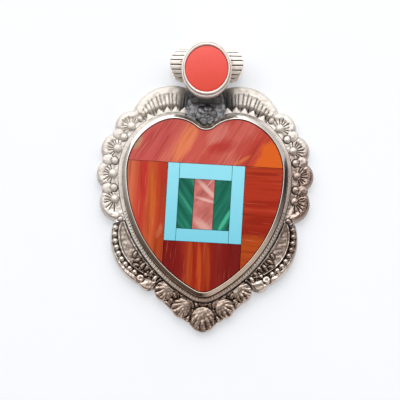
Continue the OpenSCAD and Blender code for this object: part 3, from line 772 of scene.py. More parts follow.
# %% [markdown]
# A fine grid of points that follows the heart carries the relief. A point has a direction along the
# heart, a distance from it, and a distance to the outer edge, called rim, and a short formula for each
# ornament gives its height. These are the small shapes that the formulas are made of: a smooth step,
# a round shoulder, an egg with a dark moat round it, and the wobble of a die that was cut by hand.

# %% Shapes for the relief
def smooth(low, high, value):
    share = np.clip((value - low) / (high - low), 0, 1)
    return share * share * (3 - 2 * share)


def round_over(value):
    return np.sqrt(np.clip(1 - value ** 2, 0, 1))


def rolled_edge(rim, width):
    return round_over(np.clip(1 - rim / width, 0, 1))


def bell(value, width):
    return np.exp(-(value / width) ** 2)


def swing_from(x, y, root, heading):
    ahead = np.hypot(x - root[..., 0], y - root[..., 1])
    swing = np.degrees(np.arctan2(y - root[..., 1], x - root[..., 0])) - heading
    return ahead, (swing + 180) % 360 - 180


def lay_dome(height, reach, foot, top, ditch=0.14):
    dome = foot + (top - foot) * round_over(np.clip(reach, 0, 1))
    return np.where(reach < 1, np.maximum(dome, foot), height - ditch * bell(reach - 1.08, 0.13))


def lay_egg(height, x, y, egg, foot, top, ditch=0.14):
    centre, heading, half_out, half_across = egg
    ahead, aside = unit(heading), unit(heading + 90)
    u = ((x - centre[0]) * ahead[0] + (y - centre[1]) * ahead[1]) / half_out
    v = ((x - centre[0]) * aside[0] + (y - centre[1]) * aside[1]) / half_across
    return lay_dome(height, np.hypot(u, v), foot, top, ditch)


def hand_wobble(x, y, picks, size):
    total = np.zeros_like(x)
    for wave in (1.6, 0.9, 0.55):
        for _ in range(3):
            heading, phase = picks.uniform(0, 2 * math.pi, 2)
            run = x * math.cos(heading) + y * math.sin(heading)
            total += np.sin(run * 2 * math.pi / wave + phase) * wave
    return total * size / 5


def soften(values, cells):
    for axis in (0, 1):
        count = values.shape[axis]
        shifted = [np.take(values, np.clip(np.arange(count) + k, 0, count - 1), axis)
                   for k in range(-cells, cells + 1)]
        values = np.mean(shifted, 0)
    return values


print("half a step:", smooth(0, 1, 0.5), "top of a round shoulder:", round_over(0))

# %% [markdown]
# The grid becomes a closed block on the plate. The die leaves the border a little lower at its edge
# than at the strip. The recess value is how far a point lies below the softened relief round it, and
# an ornament can add a darkening of its own. Most ornaments stand on both sides of the heart, each cut by
# hand anew, so the left one is the mirror image with another seed.

# %% Relief grid
cell = 0.058
strip_gap, edge_gap = 0.08, 0.01
full_recess = 0.16


def edge_distance(x, y, line):
    tree = KDTree(len(line))
    for k, (px, py) in enumerate(line):
        tree.insert((px, py, 0), k)
    tree.balance()
    near = [tree.find((px, py, 0))[2] for px, py in zip(x.ravel(), y.ravel())]
    return np.array(near).reshape(x.shape)


def relief_mesh(name, x, y, z, recess):
    rows, columns = x.shape
    low = np.full((rows, 1), plate_top)
    inner, outer = np.c_[x[:, 0], y[:, 0], low], np.c_[x[:, -1], y[:, -1], low]
    points = np.concatenate([np.stack([x, y, z], -1).reshape(-1, 3), inner, outer])
    a, b = rows * columns, rows * columns + rows
    quads = [(i * columns + j, (i + 1) * columns + j, (i + 1) * columns + j + 1, i * columns + j + 1)
             for i in range(rows - 1) for j in range(columns - 1)]
    last = columns - 1
    for i in range(rows - 1):
        quads.append((i * columns, a + i, a + i + 1, (i + 1) * columns))
        quads.append((i * columns + last, (i + 1) * columns + last, b + i + 1, b + i))
        quads.append((a + i, b + i, b + i + 1, a + i + 1))
    for i in (0, rows - 1):
        quads.append(tuple([a + i] + [i * columns + j for j in range(columns)] + [b + i]))
    mesh = solid_mesh(name, points, quads, struck, 60)
    mark_points(mesh, "recess", np.r_[recess.ravel(), np.zeros(2 * rows)])
    return mesh


def relief(name, turns, formula, flip, seed, lean, wobble, line=edge_line):
    picks = np.random.default_rng(seed)
    centre, radius = heart_arc(turns)
    inner, outer = strip_out + strip_gap, outer_reach(turns) - edge_gap
    columns = int(max(outer - inner) / cell)
    out = inner + (outer - inner)[:, None] * np.linspace(0, 1, columns)[None]
    spot = centre[:, None] + (radius[:, None] + out)[..., None] * unit(turns)[:, None]
    x, y = spot[..., 0], spot[..., 1]
    rim = edge_distance(x, y, line)
    height, shade_and_patina = formula(x, y, turns[:, None] + 0 * out, out, rim, picks)
    height = height + lean * (1.8 - out + inner) * smooth(0.1, 0.5, height)
    height = np.maximum(height + hand_wobble(x, y, picks, wobble) * smooth(0, 0.4, rim), 0.02)
    recess = np.clip((soften(height, 6) - height) / full_recess, 0, 1)
    recess = np.maximum(recess, 1 - smooth(0.14, 0.4, height)) * smooth(0.08, 0.3, rim)
    return relief_mesh(name, x * (-1 if flip else 1), y, plate_top + height, np.maximum(recess, shade_and_patina))


def relief_pair(kind, detail, first, last, formula, seeds, lean, wobble):
    turns = along(first, last, 2.5, cell)
    for side, flip, seed in zip(("right", "left"), (False, True), seeds):
        name = f"{kind}_{side}_{detail}"
        mesh = relief(name, turns, formula, flip, seed, lean, wobble)
        to_object(name, mesh, "pendant", f"{kind}_{side}")


print("relief cells of", cell, "mm")

# %% [markdown]
# A crest is a row of finger-like flutes under a broad plain rim. Thin black grooves part the flutes.
# They stand square to the heart and end at the rim in a small pit each, never at quite the same
# height, because the die was cut by hand. Beside the rosette it is darkened by patina and by the painted shadow of
# the coral.

# %% Crests
flute_pitch, pitch_out = 0.76, 3.8
crest_top, crest_roll, flute_sink = 0.98, 0.75, 0.16
groove_w, groove_deep = 0.075, 0.12
pit_w, pit_l, pit_deep = 0.14, 0.16, 0.06
rosette_low, rosette_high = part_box("rosette")
rosette_y = (rosette_low.y + rosette_high.y) / 2 / MM


def heart_run(turn, out):
    crown = np.radians(crest_from - np.maximum(turn, crown_turn)) * (crown_r + out)
    shoulder = np.radians(crown_turn - np.minimum(turn, crown_turn)) * (shoulder_r + out)
    return crown + shoulder


def crest_height(x, y, turn, out, rim, picks):
    count = int(heart_run(crest_to, pitch_out) / flute_pitch) + 2
    sway = picks.uniform(-0.2, 0.2, count)
    tops = picks.uniform(1.3, 2.1, count)
    place = heart_run(turn, pitch_out) / flute_pitch + 0.5
    k = np.clip(np.round(place).astype(int), 0, count - 1)
    radius = heart_arc(turn)[1]
    away = np.abs(place - k - sway[k]) * flute_pitch * (radius + out) / (radius + pitch_out)
    cut = bell(away, groove_w) * smooth(tops[k] - 0.08, tops[k] + 0.15, rim)
    pit = bell(away, pit_w) * bell(rim - tops[k], pit_l)
    fluted = smooth(1.4, 1.8, rim)
    swell = fluted * 0.1 * (1 - np.clip(1 - away / 0.3, 0, 1) ** 2)
    body = crest_top * rolled_edge(rim, crest_roll) - flute_sink * fluted
    body = body * smooth(2.3, 3.2, out) * smooth(-0.4, 2.4, heart_run(turn, out)) + 0.12
    # Patina and the painted shadow of the coral darken the crest round the rosette.
    shade_and_patina = 2.4 * (1 - smooth(3.2, 6.4, np.hypot(x, y - rosette_y - 1.5)))
    return body + swell - groove_deep * cut - pit_deep * pit, shade_and_patina


relief_pair("crest", "flutes", crest_from, crest_to + 0.06, crest_height, (3, 8), 0.14, 0.03)
print("flutes", flute_pitch, "mm apart")

# %% [markdown]
# A shell fan has a smooth rim and short flutes that spread from a silver ball at its root. Where two
# fans meet, a swollen lobe stands between them with a smaller one behind it. The lobes are egg shapes
# of their own, laid over the fans, and a dark moat parts them from the fan.

# %% Shell fans
pearl_r = 0.65
pearl_at = edge_at(fan_turn + [0, 0, 0, 1], strip_out + pearl_r + 0.3)
flute_turn, flute_count, flute_w, flute_deep = 21.0, 11, 0.08, 0.24
fan_top, fan_roll, dish_deep = 0.96, 0.7, 0.2
end_eggs = [(place_at(51.6, 2.7), 51.6, 0.6, 0.5), (place_at(-18.4, 2.6), -18.4, 0.6, 0.45)]


def fan_height(x, y, turn, out, rim, picks):
    powers = [np.hypot(x - c[0], y - c[1]) ** 2 - r ** 2 for c, r in zip(fan_c, fan_r)]
    nearest = np.argmin(powers, 0)
    ahead, swing = swing_from(x, y, pearl_at[nearest], fan_turn[nearest])
    sway = picks.uniform(-3.5, 3.5, (4, flute_count))
    ends = picks.uniform(1.75, 2.2, (4, flute_count))
    k = np.clip(np.round(swing / flute_turn + 0.5).astype(int) + 5, 0, flute_count - 1)
    away = np.abs(swing - (k - 5.5) * flute_turn - sway[nearest, k]) * np.pi / 180 * ahead
    reach = ends[nearest, k] + 0.5 * (nearest == 3)
    cut = bell(away, flute_w) * smooth(0.75, 0.9, ahead) * (1 - smooth(reach - 0.2, reach + 0.1, ahead))
    cut = cut * smooth(0.75, 1.0, rim) * (1 - smooth(80, 92, np.abs(swing)))
    dish = smooth(0.95, 1.6, rim)
    body = fan_top * rolled_edge(rim, fan_roll) - dish_deep * dish
    height = body - flute_deep * cut - 0.25 * smooth(85, 110, np.abs(swing)) * dish
    for at in lobe_turn:
        height = lay_egg(height, x, y, (place_at(at, 3.8), at, 1.05, 1.0), 0.74, 0.98, 0.09)
        height = lay_egg(height, x, y, (place_at(at, 2.6), at, 0.68, 0.7), 0.68, 1.06, 0.09)
    for egg in end_eggs:
        height = lay_egg(height, x, y, egg, 0.62, 0.98, 0.07)
    return height, 0 * out


relief_pair("fans", "shells", crest_to - 0.06, swag_from + 0.2, fan_height, (5, 11), 0.14, 0.03)
print(2 * len(fan_turn), "fans with", 2 * len(lobe_turn), "lobes between them")

# %% [markdown]
# A leaf swag runs below the fans: a smooth outer rim that grows downwards, a channel for a row of
# balls, and a plain curved leaf with a raised edge beside the strip. The leaf is left brown by the
# patina. It ends in small curls and two drops, and the channel in a dimpled curl.

# %% Leaf swags
rim_first, rim_last = 0.15, 1.0
bead_from, bead_to, bead_r = 13.0, -52.5, 0.5
curl_c, curl_r = swag_c + 8.3 * unit(-63.0), 0.8
rim_top, rim_roll, channel_deep = 0.8, 0.5, 0.62
leaf_foot, leaf_edge, leaf_hollow, leaf_stain = 0.35, 0.55, 0.3, 0.42
leaf_curls = [((12.7, -9.5), -60, 0.75, 0.42), ((12.25, -10.5), -25, 0.8, 0.4),
              ((12.4, -11.4), 10, 0.75, 0.36), ((11.35, -11.6), -50, 0.85, 0.42),
              ((10.65, -13.2), 20, 0.42, 0.42), ((10.4, -11.9), -45, 0.7, 0.4),
              ((8.95, -13.85), -50, 0.75, 0.45), ((8.0, -14.5), -45, 0.62, 0.42),
              ((9.6, -12.8), -45, 0.65, 0.4)]


def rim_width(bead_turn):
    share = np.clip((bead_from - bead_turn) / (bead_from - bead_to), 0, 1)
    return rim_first + (rim_last - rim_first) * share


def swag_height(x, y, turn, out, rim, picks):
    reach, bead_turn = swing_from(x, y, swag_c, 0)
    row = swag_r - rim_width(bead_turn) - bead_r
    channel = np.abs(reach - row)
    open_row = smooth(-62, -56, bead_turn)
    outer_rim = rim_top * rolled_edge(rim, rim_roll) * (reach > row)
    edge_in = np.minimum(out - strip_out - 0.12, row - 0.52 - reach)
    leaf = leaf_foot + leaf_edge * smooth(0.0, 0.22, edge_in) - leaf_hollow * smooth(0.25, 0.75, edge_in)
    low_end = smooth(-42, -50, bead_turn) + smooth(-36, -40, turn)
    leaf = np.where(edge_in > 0, leaf - 0.25 * np.clip(low_end, 0, 1) * smooth(0.1, 0.5, edge_in), 0.24)
    height = np.where(reach > row, outer_rim, leaf)
    height = height * (1 - (1 - smooth(0.40, 0.56, channel)) * open_row * channel_deep)
    for egg in leaf_curls:
        height = lay_egg(height, x, y, egg, 0.4, 0.9, 0.1)
    curl = np.hypot(x - curl_c[0], y - curl_c[1]) / curl_r
    height = lay_dome(height, curl, 0.4, 0.9) - 0.2 * bell(curl - 0.15, 0.2)
    return height, leaf_stain * smooth(0.25, 0.6, edge_in) * (reach < row)


relief_pair("swag", "leaf", swag_from - 0.2, swag_to + 0.2, swag_height, (7, 15), 0.04, 0.05)
print(len(leaf_curls), "small curls on each swag")

# %% [markdown]
# The tail has two small curled shells on each side and a larger one at the lowest point. Each is a dome
# with flutes that spread from its root and deepen towards its edge, and smooth leaves fill the place
# between the shells and the strip. The lowest shell is one piece that spans the middle line.

# %% Tail shells
tail_shells = [(place_at(-50.9, 3.3), -30, 1.75, 25),
               (tip_c + (tip_r + 4.05) * unit(-55.0), -35, 1.75, 25), (tail_c - [0, 0.1], -90, 2.2, 22)]
tail_leaves = [((8.0, -15.2), -40, 0.75, 0.5), ((6.3, -15.1), -140, 1.0, 0.55),
               ((4.9, -16.3), -140, 0.95, 0.55), ((3.6, -17.4), -125, 1.0, 0.55),
               ((2.3, -18.3), -115, 1.15, 0.6), ((3.1, -19.6), -75, 0.8, 0.5),
               ((5.95, -17.9), -130, 0.8, 0.55), ((5.4, -16.9), -130, 0.75, 0.5),
               ((2.7, -21.1), -60, 0.6, 0.42), ((0.0, -18.4), -90, 0.7, 0.85)]
dome_foot, dome_rise, fold_deep = 0.45, 0.36, 0.36
tail_foot, tail_roll, tail_darkening = 0.42, 0.4, 0.34
tail_lean, tail_wobble = 0.14, 0.055
scroll_stop = -77.6


def lay_shell(height, x, y, centre, heading, radius, fold_turn):
    ahead, swing = swing_from(x, y, centre - 0.75 * radius * unit(heading), heading)
    fold = round_over(2 * ((swing / fold_turn + 0.5) % 1) - 1)
    reach = np.hypot(x - centre[0], y - centre[1]) / radius
    deep = smooth(0.45, 1.3, ahead / radius)
    dome = dome_foot + dome_rise * round_over(np.clip(reach, 0, 1)) + fold_deep * (fold - 0.6) * deep
    return np.where(reach < 1, dome, height - 0.25 * bell(reach - 1.06, 0.1))


def tail_height(x, y, turn, out, rim, picks):
    right_x = np.abs(x)
    edge = rolled_edge(rim, tail_roll)
    height = tail_foot * edge
    for egg in tail_leaves:
        height = lay_egg(height, right_x, y, egg, 0.4, 0.84)
    for shell in tail_shells:
        height = lay_shell(height, right_x, y, *shell)
    height = np.minimum(height, 0.15 + 0.8 * edge)
    # The tail is darkened all over, except at its outer rim.
    return height * smooth(1.7, 2.1, out) + 0.1, tail_darkening * smooth(0.2, 1.0, rim)


scroll_turns = along(swag_to - 0.2, scroll_stop, 2.5, cell)
scroll_halves = [relief("scrolls", scroll_turns, tail_height, flip, seed, tail_lean, tail_wobble)
                 for flip, seed in ((False, 9), (True, 21))]
to_object("scroll_pairs", join("scroll_pairs", *scroll_halves), "pendant", "tail_scrolls")

half_turns = along(scroll_stop - 0.2, -90, 2.5, cell)
tail_turns = np.r_[half_turns, -180 - half_turns[-2::-1]]
whole_edge = np.concatenate([edge_line, edge_line * [-1, 1]])
tail_mesh = relief("tail_shell_ribs", tail_turns, tail_height, False, 13, tail_lean, tail_wobble, whole_edge)
to_object("tail_shell_ribs", tail_mesh, "pendant", "tail_shell")

# %% [markdown]
# The silver balls are tiny melted grains soldered in place: one at the root of each fan, and nine in
# the channel of each swag. The ball tree sets one on every point. The curl that closes the row of a
# swag is part of its relief.

# %% Balls of the fans and the swags
bead_count, bead_level, pearl_level = 9, 0.46, 0.78
fine_balls = ball_tree(32, 18)
pearl_points = both(raised(pearl_at, plate_top + pearl_level))
pearls = grow_balls("pearl_balls", pearl_points, 1.27 * pearl_r, fine_balls, 0.6)
to_object("pearl_balls", pearls, "pendant", "fan_pearls")

bead_turns = np.linspace(bead_from, bead_to, bead_count)
bead_at = swag_c + (swag_r - rim_width(bead_turns) - bead_r)[:, None] * unit(bead_turns)
bead_points = both(raised(bead_at, plate_top + bead_level))
beads = grow_balls("swag_balls", bead_points, 1.04 * bead_r, fine_balls, 0.95)
to_object("swag_balls", beads, "pendant", "swag_beads")

# %% [markdown]
# At the cleft sits a small dark rosette: two rings of petals round a ball. A petal is a flattened ball
# that is tilted up, so one node tree places petals round a ring. The whole flower is dark with oxide
# and painted nearly black as the shade under the coral.

# %% Rosette
def petal_tree():
    tree, start = new_tree("Petals", ["Length", "Width", "Thickness", "Tilt"])
    petal = round_copy(tree, 20, 12, 0.1, -0.4)
    lie = vector(tree, Y=start.outputs["Tilt"], Z=point_value(tree, "turn"))
    size = vector(tree, X=start.outputs["Length"], Y=start.outputs["Width"], Z=start.outputs["Thickness"])
    return spread_copies(tree, start, Instance=petal, Rotation=lie, Scale=size)


rosette_c, rosette_r = np.array([0, rosette_y]), rosette_high.x / MM
petals = petal_tree()


def petal_ring(name, count, start_turn, ring, height, sizes, tilt):
    turns = start_turn + 360 / count * np.arange(count)
    places = raised(rosette_c + ring * unit(turns), plate_top + height)
    values = metres(length=sizes[0], width=sizes[1], thickness=sizes[2])
    values["Tilt"] = math.radians(tilt)
    return grow(name, point_mesh(name, places, turn=np.radians(turns)), petals, values, oxide_and_shade)


disc_r = rosette_r * 0.97
disc = petal_ring("rosette disc", 1, 0, 0.0, 0.1, (disc_r, disc_r, 0.3), 0)
outer_petals = petal_ring("outer petals", 6, 12, rosette_r * 0.66, 0.42, (0.85, 0.82, 0.36), 16)
inner_petals = petal_ring("inner petals", 4, 40, rosette_r * 0.3, 0.66, (0.55, 0.52, 0.3), 12)
heart_ball = petal_ring("rosette middle", 1, 0, 0.0, 0.86, (0.3, 0.3, 0.26), 0)
flower = join("rosette_flower", disc, outer_petals, inner_petals, heart_ball)
to_object("rosette_flower", flower, "pendant", "rosette")

# %% [markdown]
# The bail is a short ribbed tube behind the coral, with rounded ends and a bore for the chain. Its
# ribs run along the tube, so the skin is a grid of angle and length whose radius dips at every groove.
# Where the coral's plate sits, the top is filed flat.

# %% Bail tube
tube_rib_count, groove_depth, groove_power = 22, 0.24, 5
bore = next(m for m in frame["record"]["mounts"] if m["name"] == "chain_bore")
tube_y, tube_z = bore["pos_m"][1] / MM, bore["pos_m"][2] / MM
bore_r = bore["dims"]["r_mm"]
tube_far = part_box("bail_tube")[1]
tube_r, tube_half_l = tube_far.y / MM - tube_y, tube_far.x / MM
end_r = tube_r + 0.15
seat_room, seat_drop = 0.12, 0.01
seat_low, seat_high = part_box("coral_plate")
seat_z = seat_low.z / MM
coral_y = (seat_low.y + seat_high.y) / 2 / MM
plate_half_w, plate_half_l = seat_high.x / MM, (seat_high.y - seat_low.y) / 2 / MM


def end_at(radius, angle):
    return tube_half_l - end_r + math.sqrt(end_r ** 2 - (radius * math.cos(angle)) ** 2)


def tube_skin():
    angles = np.linspace(0, 2 * math.pi, tube_rib_count * 14, endpoint=False)
    groove = np.abs(2 * ((angles / (2 * math.pi) * tube_rib_count) % 1) - 1) ** groove_power
    rows = []
    for angle, radius, dip in zip(angles, tube_r - groove_depth * groove, groove):
        long_out, long_in = end_at(tube_r, angle), end_at(bore_r, angle)
        skin = [(x * (long_out - 0.25), radius) for x in np.linspace(-1, 1, 41)]
        end = [(long_out - 0.07, radius - 0.05), (long_out, radius - 0.2), (long_in, bore_r + 0.15),
               (long_in - 0.04, bore_r + 0.04), (long_in - 0.15, bore_r)]
        inside = [(x * (long_in - 0.2), bore_r) for x in np.linspace(0.9, -0.9, 9)]
        run = skin + end + inside + [(-x, r) for x, r in reversed(end)]
        rows.append([(x, tube_y + r * math.cos(angle), tube_z + r * math.sin(angle), dip * (r > bore_r + 0.3))
                     for x, r in run])
    return np.array(rows)


def torus_faces(rows, columns):
    return [(i * columns + j, i * columns + (j + 1) % columns, (i + 1) % rows * columns + (j + 1) % columns,
             (i + 1) % rows * columns + j) for i in range(rows) for j in range(columns)]


skin = tube_skin()
seat_reach = np.hypot(skin[..., 0] / (plate_half_w + seat_room),
                      (skin[..., 1] - coral_y) / (plate_half_l + seat_room))
filed = (seat_reach < 1) & (skin[..., 2] > seat_z - seat_drop)
skin[..., 2] = np.where(filed, seat_z - seat_drop, skin[..., 2])
tube = solid_mesh("tube", skin[..., :3].reshape(-1, 3), torus_faces(*skin.shape[:2]), ribbed, 50)
mark_points(tube, "recess", smooth(0.12, 0.6, skin[..., 3]))
print("tube of radius", round(tube_r, 2), "mm with", tube_rib_count, "ribs")

# %% [markdown]
# A tongue under the tube ends in the middle knuckle of the hinge. The smith rolls the knuckle from the
# end of the tongue, and the pin runs through its bore. Both lie deep under the tube, so a high recess
# value paints them dark as shade.

# %% Knuckle and tongue of the bail
hinge = frame["joints"][0]
hinge_y, hinge_z = hinge["pos_m"][1] / MM, hinge["pos_m"][2] / MM
knuckle_r, knuckle_half_l, pin_bore_r = 0.85, 1.45, 0.5
knuckle_edge, tongue_edge = 0.08, 0.12
deep_painted_shade = 0.85


def knuckle_mesh():
    bend = np.linspace(0, 2 * math.pi, 48, endpoint=False)
    section = [(-knuckle_half_l + knuckle_edge, knuckle_r), (knuckle_half_l - knuckle_edge, knuckle_r),
               (knuckle_half_l, knuckle_r - knuckle_edge), (knuckle_half_l, pin_bore_r),
               (-knuckle_half_l, pin_bore_r), (-knuckle_half_l, knuckle_r - knuckle_edge)]
    points = [(x, hinge_y + r * math.cos(a), hinge_z + r * math.sin(a)) for a in bend for x, r in section]
    return solid_mesh("knuckle", points, torus_faces(len(bend), len(section)), ribbed, 40)


def tongue_mesh():
    low = np.array([-knuckle_half_l, hinge_y + pin_bore_r + 0.1, hinge_z - knuckle_r + 0.05])
    high = np.array([knuckle_half_l, tube_y - bore_r - 0.1, hinge_z + 0.05])
    block_corners = [tuple(np.where(pick, high, low)) for pick in np.ndindex(2, 2, 2)]
    faces = [(0, 1, 3, 2), (4, 6, 7, 5), (0, 4, 5, 1), (2, 3, 7, 6), (0, 2, 6, 4), (1, 5, 7, 3)]
    mesh = solid_mesh("tongue", block_corners, faces, ribbed)
    with_bmesh(mesh, lambda work: bmesh.ops.bevel(work, geom=work.edges[:], offset=tongue_edge * MM,
                                                  segments=3, affect="EDGES"))
    return mesh


knuckle, tongue = knuckle_mesh(), tongue_mesh()
# Painted shade: a high recess value darkens the knuckle and the tongue.
for mesh in (knuckle, tongue):
    mark_points(mesh, "recess", [deep_painted_shade] * len(mesh.vertices))
bail = join("ribbed_bail", tube, knuckle, tongue)
bail.shade_smooth()
bail.set_sharp_from_angle(angle=math.radians(50))
to_object("ribbed_bail", bail, "bail", "bail_tube")

# %% [markdown]
# The coral sits in an oval bezel whose wall is thicker at the top and bottom ends. A wall of changing
# thickness can't come from one swept section, so its loops are worked out point by point: an outer
# ledge, a groove, and the inner wall with its rounded lip.

# %% Bezel of the coral
coral_half_w, coral_half_l = 4.0, 4.35
coral_wall, coral_end_wall = plate_half_w - coral_half_w, plate_half_l - coral_half_l
coral_foot = seat_high.z / MM
coral_bezel_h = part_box("coral_bezel")[1].z / MM - coral_foot
oval_count = 96


def oval(half_x, half_y, level):
    turns = np.linspace(0, 2 * math.pi, oval_count, endpoint=False)
    loop = np.stack([half_x * np.cos(turns), coral_y + half_y * np.sin(turns)], -1)
    return raised(loop, coral_foot + level)


def coral_bezel_mesh():
    h = coral_bezel_h
    section = [(0, 0), (0.97, 0), (1, 0.05), (1, h - 0.62), (0.96, h - 0.5), (0.86, h - 0.44),
               (0.66, h - 0.44), (0.6, h - 0.5), (0.56, h - 0.62), (0.52, h - 0.5), (0.5, h - 0.14),
               (0.42, h - 0.03), (0.3, h), (0.12, h - 0.02), (0.02, h - 0.1), (0, h - 0.22)]
    loops = [oval(coral_half_w + s * coral_wall, coral_half_l + s * coral_end_wall, z) for s, z in section]
    return solid_mesh("coral_ring", np.concatenate(loops), torus_faces(len(loops), oval_count), handled, 50)


to_object("coral_ring", coral_bezel_mesh(), "bail", "coral_bezel")

# %% [markdown]
# The coral is a low cabochon with a soft edge, made of oval rings that drop towards the rim. Its red is
# nearly even, a little paler towards the light, and it is ground to a soft polish.

# %% Coral
def coral_mesh(material):
    stone_h = coral_bezel_h - 0.08
    shares = np.r_[np.linspace(0.04, 0.86, 22), np.linspace(0.88, 1, 9)]
    drop = 0.14 * shares ** 2 + 0.14 * (1 - round_over(np.clip((shares - 0.9) / 0.1, 0, 1)))
    loops = [oval((coral_half_w - 0.04) * s, (coral_half_l - 0.04) * s, stone_h - d)
             for s, d in zip(shares, drop)]
    loops.append(raised(loops[-1][:, :2], coral_foot))
    points = np.concatenate([*loops, [[0, coral_y, coral_foot + stone_h]]])
    top = len(points) - 1
    faces = torus_faces(len(loops), oval_count)[:-oval_count]
    faces += [(top, (j + 1) % oval_count, j) for j in range(oval_count)]
    faces.append(tuple(range(top - oval_count, top)))
    return solid_mesh("coral_cabochon", points, faces, material, 50)


def coral_red():
    made, tree, shader = new_material("coral red")
    place = millimetres(tree)
    fall = between(tree, axis_of(tree, place, "Y"), coral_y - 4, coral_y + 4)
    colour = ramp(tree, fall, [(0.0, linear(224, 82, 66)), (0.5, linear(236, 92, 82)),
                               (1.0, linear(243, 104, 95))])
    cloud = noise(tree, place, 0.6, 4.0)
    colour = mix(tree, times(tree, cloud, 0.25), colour, linear(214, 66, 52))
    pits = noise(tree, place, 3.2, 2.0)
    fill(tree, shader, {"Base Color": colour, "Roughness": scaled(tree, pits, 0.15, 0.14),
                        "Specular IOR Level": 0.2, "Subsurface Weight": 0.08, "Subsurface Scale": 0.0006,
                        "Subsurface Radius": (1.0, 0.4, 0.3), "Normal": bump(tree, pits, 0.04, 0.00005)})
    return made


to_object("coral_cabochon", coral_mesh(coral_red()), "bail", "coral_stone")

# %% [markdown]
# The heart's red pieces are polished shell, cut so that its growth bands run a different way in each
# piece. A band pattern is a colour ramp along one direction, bent a little by noise, with darker and
# paler fibres that follow the bands. What makes each piece look like itself are its flames and
# stains, so another helper lays a long soft patch with a ragged edge. Plain patches lie over the
# fibres, and a tint sets the whole piece against its neighbours.

# %% Banded shell
inlay_turn = 2.4


def patch(tree, colour, shade, centre, heading, half_long, half_wide, strength, soft=0.5):
    place = add(tree, "ShaderNodeMapping", {
        "Vector": millimetres(tree), "Location": (*centre, 0), "Rotation": (0, 0, math.radians(heading)),
        "Scale": (half_long, half_wide, 1000)}, vector_type="TEXTURE").outputs[0]
    far = add(tree, "ShaderNodeVectorMath", {0: place}, operation="LENGTH").outputs["Value"]
    ragged = scaled(tree, noise(tree, place, 1.6, 3.0), 0.7, far)
    cover = between(tree, ragged, 1.35 + soft / 2, 1.35 - soft / 2, 0.0, strength)
    return mix(tree, cover, colour, linear(*shade))


def polish(tree, shader, colour, grain, rough_from, rough_to, shine):
    rough = between(tree, grain, 0.0, 1.0, rough_from, rough_to)
    fill(tree, shader, {"Base Color": colour, "Roughness": rough, "Specular IOR Level": shine,
                        "Normal": bump(tree, grain, 0.03, 0.00005)})


def banded_shell(name, turn, tint, stops, patches, plain=()):
    made, tree, shader = new_material(name)
    sway = noise(tree, millimetres(tree, turn, (0.35, 0.06, 1)), 1.0, 2.0)
    bent = scaled(tree, sway, 1.6, axis_of(tree, millimetres(tree, turn), "X"))
    low, high = stops[0][0], stops[-1][0]
    share = between(tree, bent, low + 0.8, high + 0.8)
    colour = ramp(tree, share, [((at - low) / (high - low), linear(*shade)) for at, shade in stops])
    for stain in patches:
        colour = patch(tree, colour, *stain)
    fibre = noise(tree, millimetres(tree, turn, (1.9, 0.09, 1)), 1.0, 4.0, 0.62)
    tone = ramp(tree, fibre, [(0.3, (0.58, 0.42, 0.36, 1)), (0.48, (0.95, 0.92, 0.9, 1)),
                              (0.62, (1, 1, 1, 1))])
    colour = mix(tree, 0.75, colour, tone, "MULTIPLY")
    hair = noise(tree, millimetres(tree, turn + 2, (4.5, 0.16, 1)), 1.0, 2.0)
    colour = mix(tree, between(tree, hair, 0.64, 0.8, 0.0, 0.45), colour, linear(238, 160, 120))
    for stain in plain:
        colour = patch(tree, colour, *stain)
    polish(tree, shader, mix(tree, 1.0, colour, tint, "MULTIPLY"), fibre, 0.12, 0.26, 0.07)
    return made


print("bands run", inlay_turn, "degrees off the upright")

# %% [markdown]
# The top piece is pale, with slanting bands and a plain orange wedge at its right end. The left piece
# has upright bands from peach to orange, the right piece lies across, and the bottom piece is the
# darkest, with a few bright flames. A stop is a place along the bands and its colour. A patch is a
# colour, a centre, a heading, half its length, half its width and a strength.

# %% Four pieces of shell
top_shell = banded_shell("top shell", 30, (1.02, 1.2, 1.28, 1), [
    (-15, (198, 86, 78)), (-12, (196, 78, 72)), (-10.3, (212, 104, 84)), (-8.9, (208, 92, 78)),
    (-7.2, (202, 82, 74)), (-5.6, (203, 86, 72)), (-4, (196, 72, 62)), (-2, (200, 88, 76)),
    (-0.5, (204, 92, 80)), (1, (200, 90, 78)), (2.4, (186, 62, 50)), (4, (192, 68, 46))], [
    ((186, 134, 104), (-12.5, 11.3), 62, 1.5, 0.6, 0.8), ((182, 62, 62), (-10.9, 10.9), 65, 3.2, 0.6, 0.6),
    ((230, 124, 82), (-3.6, 11.4), 61, 4.2, 1.3, 0.85), ((176, 44, 38), (3.1, 10.5), 14, 2.2, 1.0, 0.7, 1.0),
    ((218, 124, 112), (2.4, 13.0), 40, 2.6, 1.2, 0.6), ((184, 58, 46), (7.4, 10.2), 55, 2.8, 1.4, 0.55),
    ((216, 112, 66), (6.9, 8.1), 30, 1.7, 0.3, 0.7)], [
    ((218, 92, 28), (14.6, 6.0), 0, 5.7, 5.7, 0.9, 0.14)])
left_shell = banded_shell("left shell", inlay_turn, (0.95, 0.88, 0.86, 1), [
    (-14.4, (196, 110, 80)), (-13.7, (214, 116, 84)), (-12.95, (208, 98, 68)), (-12.2, (202, 78, 60)),
    (-11.5, (192, 62, 48)), (-10.7, (200, 90, 54)), (-10, (202, 98, 54)), (-9.3, (200, 84, 50)),
    (-8.5, (188, 72, 40)), (-7.8, (180, 66, 40))], [
    ((194, 54, 50), (-11.35, 4.5), 91, 3.8, 0.55, 0.75), ((208, 106, 44), (-9.6, 1.0), 90, 5.2, 0.5, 0.75),
    ((192, 58, 46), (-7.7, 5.9), 90, 2.2, 0.9, 0.7), ((172, 74, 30), (-8.4, -7.4), 80, 3.2, 1.2, 0.65),
    ((210, 122, 90), (-8.3, -5.3), 68, 1.4, 0.45, 0.5)])
